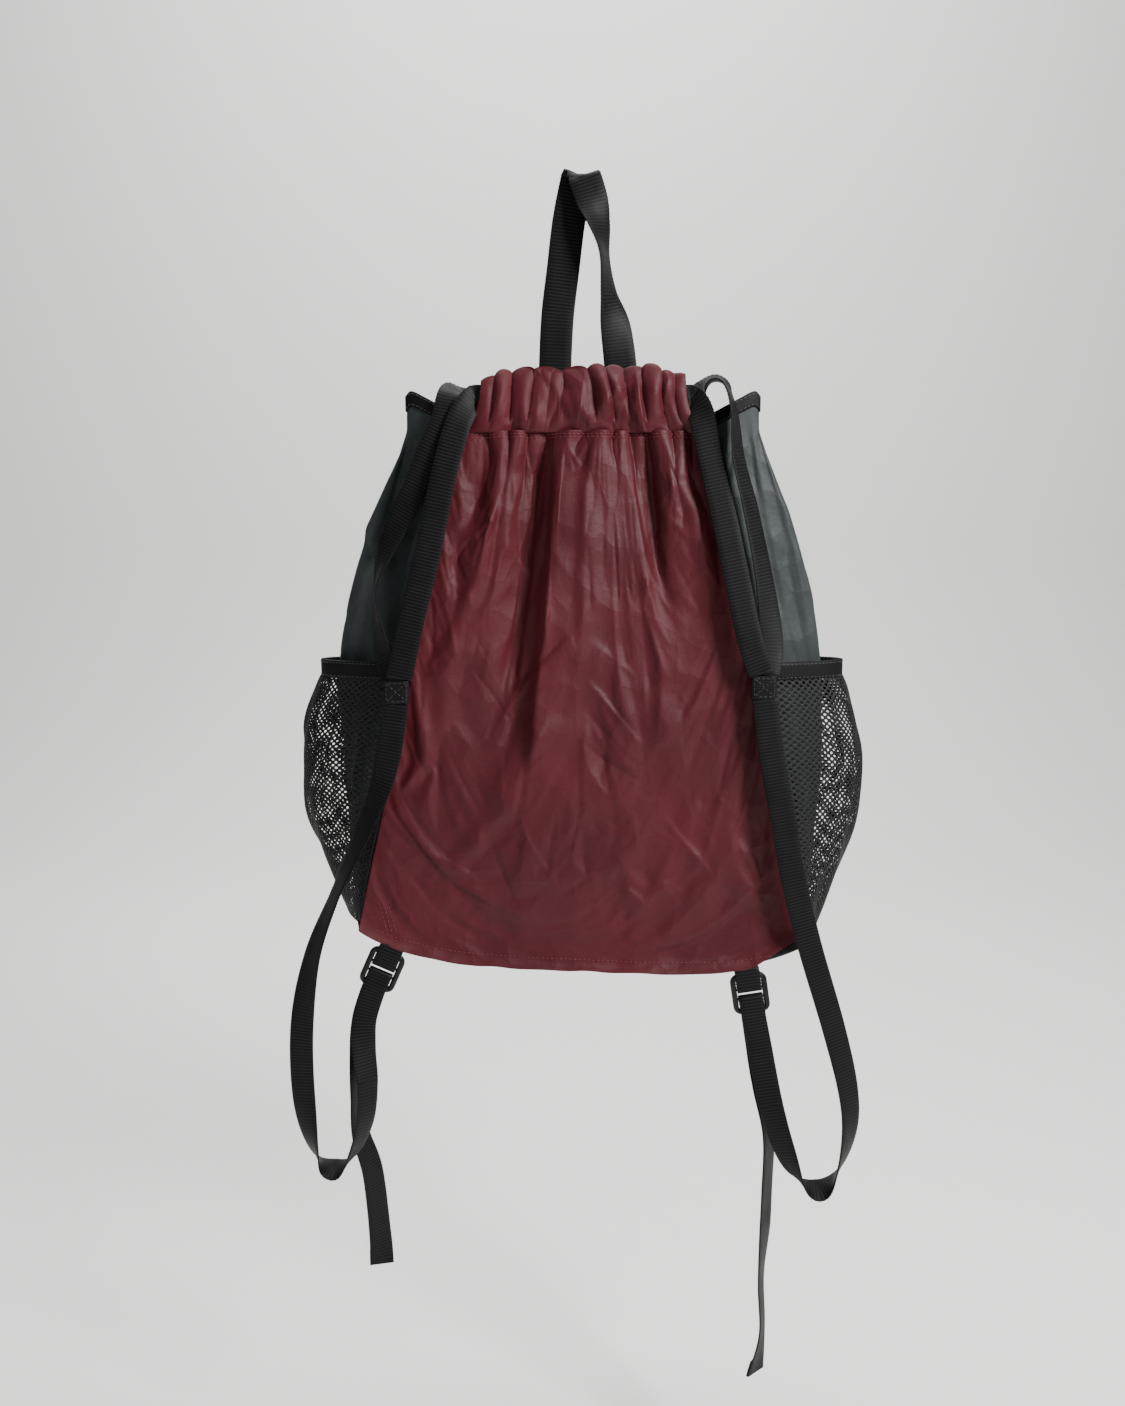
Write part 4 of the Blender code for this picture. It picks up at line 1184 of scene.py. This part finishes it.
tail("left", LEFT_TAIL, left_lock)
tail("right", RIGHT_TAIL, right_lock)


# Sewing thread. Lockstitch rows along the bindings, the channel's seam and the hem, boxed
# crosses on the junctions, and three short tacks at the panel's lower left corner. Black
# on tape, burgundy on the panel.

def thread(name, colour):
    look, tree, shader, place = new_look(name)
    dark = tuple(c * 0.5 for c in colour)
    twist = speckle(tree, place, 2200.0, 1.0)
    feed(tree, shader, {
        "Base Color": ramp(tree, twist, [(0.35, dark), (0.65, colour)]), "Roughness": 0.45,
    })
    return look


black_thread = thread("black_thread", (0.022, 0.022, 0.024))
burgundy_thread = thread("burgundy_thread", (0.17, 0.018, 0.026))
STITCH, STITCH_GAP, THREAD = 0.0026, 0.0012, 0.00034


def stitches(name, paths, look):
    """Rows of short raised stitches along paths of points, as one piece."""
    rows = bmesh.new()
    for path in paths:
        line = [Vector(p) for p in path]
        reach = reaches(line)
        start = STITCH_GAP / 2
        while start + STITCH <= reach[-1]:
            a, b = point_at(line, reach, start), point_at(line, reach, start + STITCH)
            along = (b - a).normalized()
            turn = along.to_track_quat("Z", "Y").to_matrix()
            rings = []
            sixths = [pi * k / 3 for k in range(6)]
            for share, wide in ((0.0, 0.45), (0.15, 1.0), (0.85, 1.0), (1.0, 0.45)):
                middle, r = a.lerp(b, share), THREAD * wide
                rings.append([rows.verts.new(middle + turn @ Vector((
                    r * cos(c), r * sin(c), 0))) for c in sixths])
            bridge(rows, rings)
            start += STITCH + STITCH_GAP
    mesh = bpy.data.meshes.new(name)
    rows.to_mesh(mesh)
    rows.free()
    mesh.shade_smooth()
    mesh.materials.append(look)
    piece = in_room(name, mesh)
    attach(piece, "bag")


def tape_rows(side, spot, rises, offset, steps):
    """Rows of points along a tape's outer face, each at its rise above the tape's middle."""
    rows = []
    for rise in rises:
        points = [spot(-0.98 + 1.96 * i / steps) + Vector((0, 0, rise)) for i in range(steps + 1)]
        row = []
        for i, point in enumerate(points):
            along = points[min(i + 1, steps)] - points[max(i - 1, 0)]
            out = Vector((along.y, -along.x, 0)).normalized()
            if out.x * side < 0:
                out.negate()
            row.append(point + out * offset)
        rows.append(row)
    return rows


for side, way in (("left", -1), ("right", 1)):
    rows = tape_rows(way, lambda u: gusset_point(way, u, gusset_top(u)), (-0.0038, 0.0042),
                     0.00142, 150)
    stitches(f"{side}_gusset_stitches", rows, black_thread)
    rows = tape_rows(way, lambda u: pocket_point(way, u, POCKET_TAPE_Z, 0.0), (-0.0052, 0.0054),
                     0.00147, 190)
    stitches(f"{side}_pocket_stitches", rows, black_thread)
    middle = LEFT_JUNCTION if way < 0 else RIGHT_JUNCTION
    face = middle.y - 0.00205
    wide, tall = STRAP_WIDE / 2 - 0.0022, JUNCTION_TALL / 2 - 0.0018
    corners = [Vector((middle.x + wide * a, face, middle.z + tall * b))
               for a, b in ((-1, -1), (-1, 1), (1, 1), (1, -1))]
    cross = [corners + corners[:1], corners[::2], corners[1::2]]
    stitches(f"{side}_junction_stitches", cross, black_thread)


def on_panel(points):
    """Points (x, z) laid on the front panel's outer face."""
    bpy.context.view_layer.update()
    graph = bpy.context.evaluated_depsgraph_get()
    cloth = BVHTree.FromObject(front_panel, graph)
    found = []
    for x, z in points:
        hit = cloth.ray_cast(Vector((x, -0.3, z)), Vector((0, 1, 0)))[0]
        if hit:
            found.append(hit + Vector((0, -THREAD * 0.6, 0)))
    return found


seam = [on_panel([(-0.088 + 0.176 * i / 170, PANEL_TOP - drop) for i in range(171)])
        for drop in (0.003, 0.0052)]
along_hem = [-0.168 + 0.322 * i / 240 for i in range(241)]
hem = on_panel([(x, base_z(x) + 0.003) for x in along_hem])
tacks = [on_panel([(start + 0.007 * i / 8, -0.572 - 0.026 * i / 8) for i in range(9)])
         for start in (-0.166, -0.166 + 0.0035, -0.166 + 0.007)]
stitches("panel_stitches", [*seam, hem, *tacks], burgundy_thread)
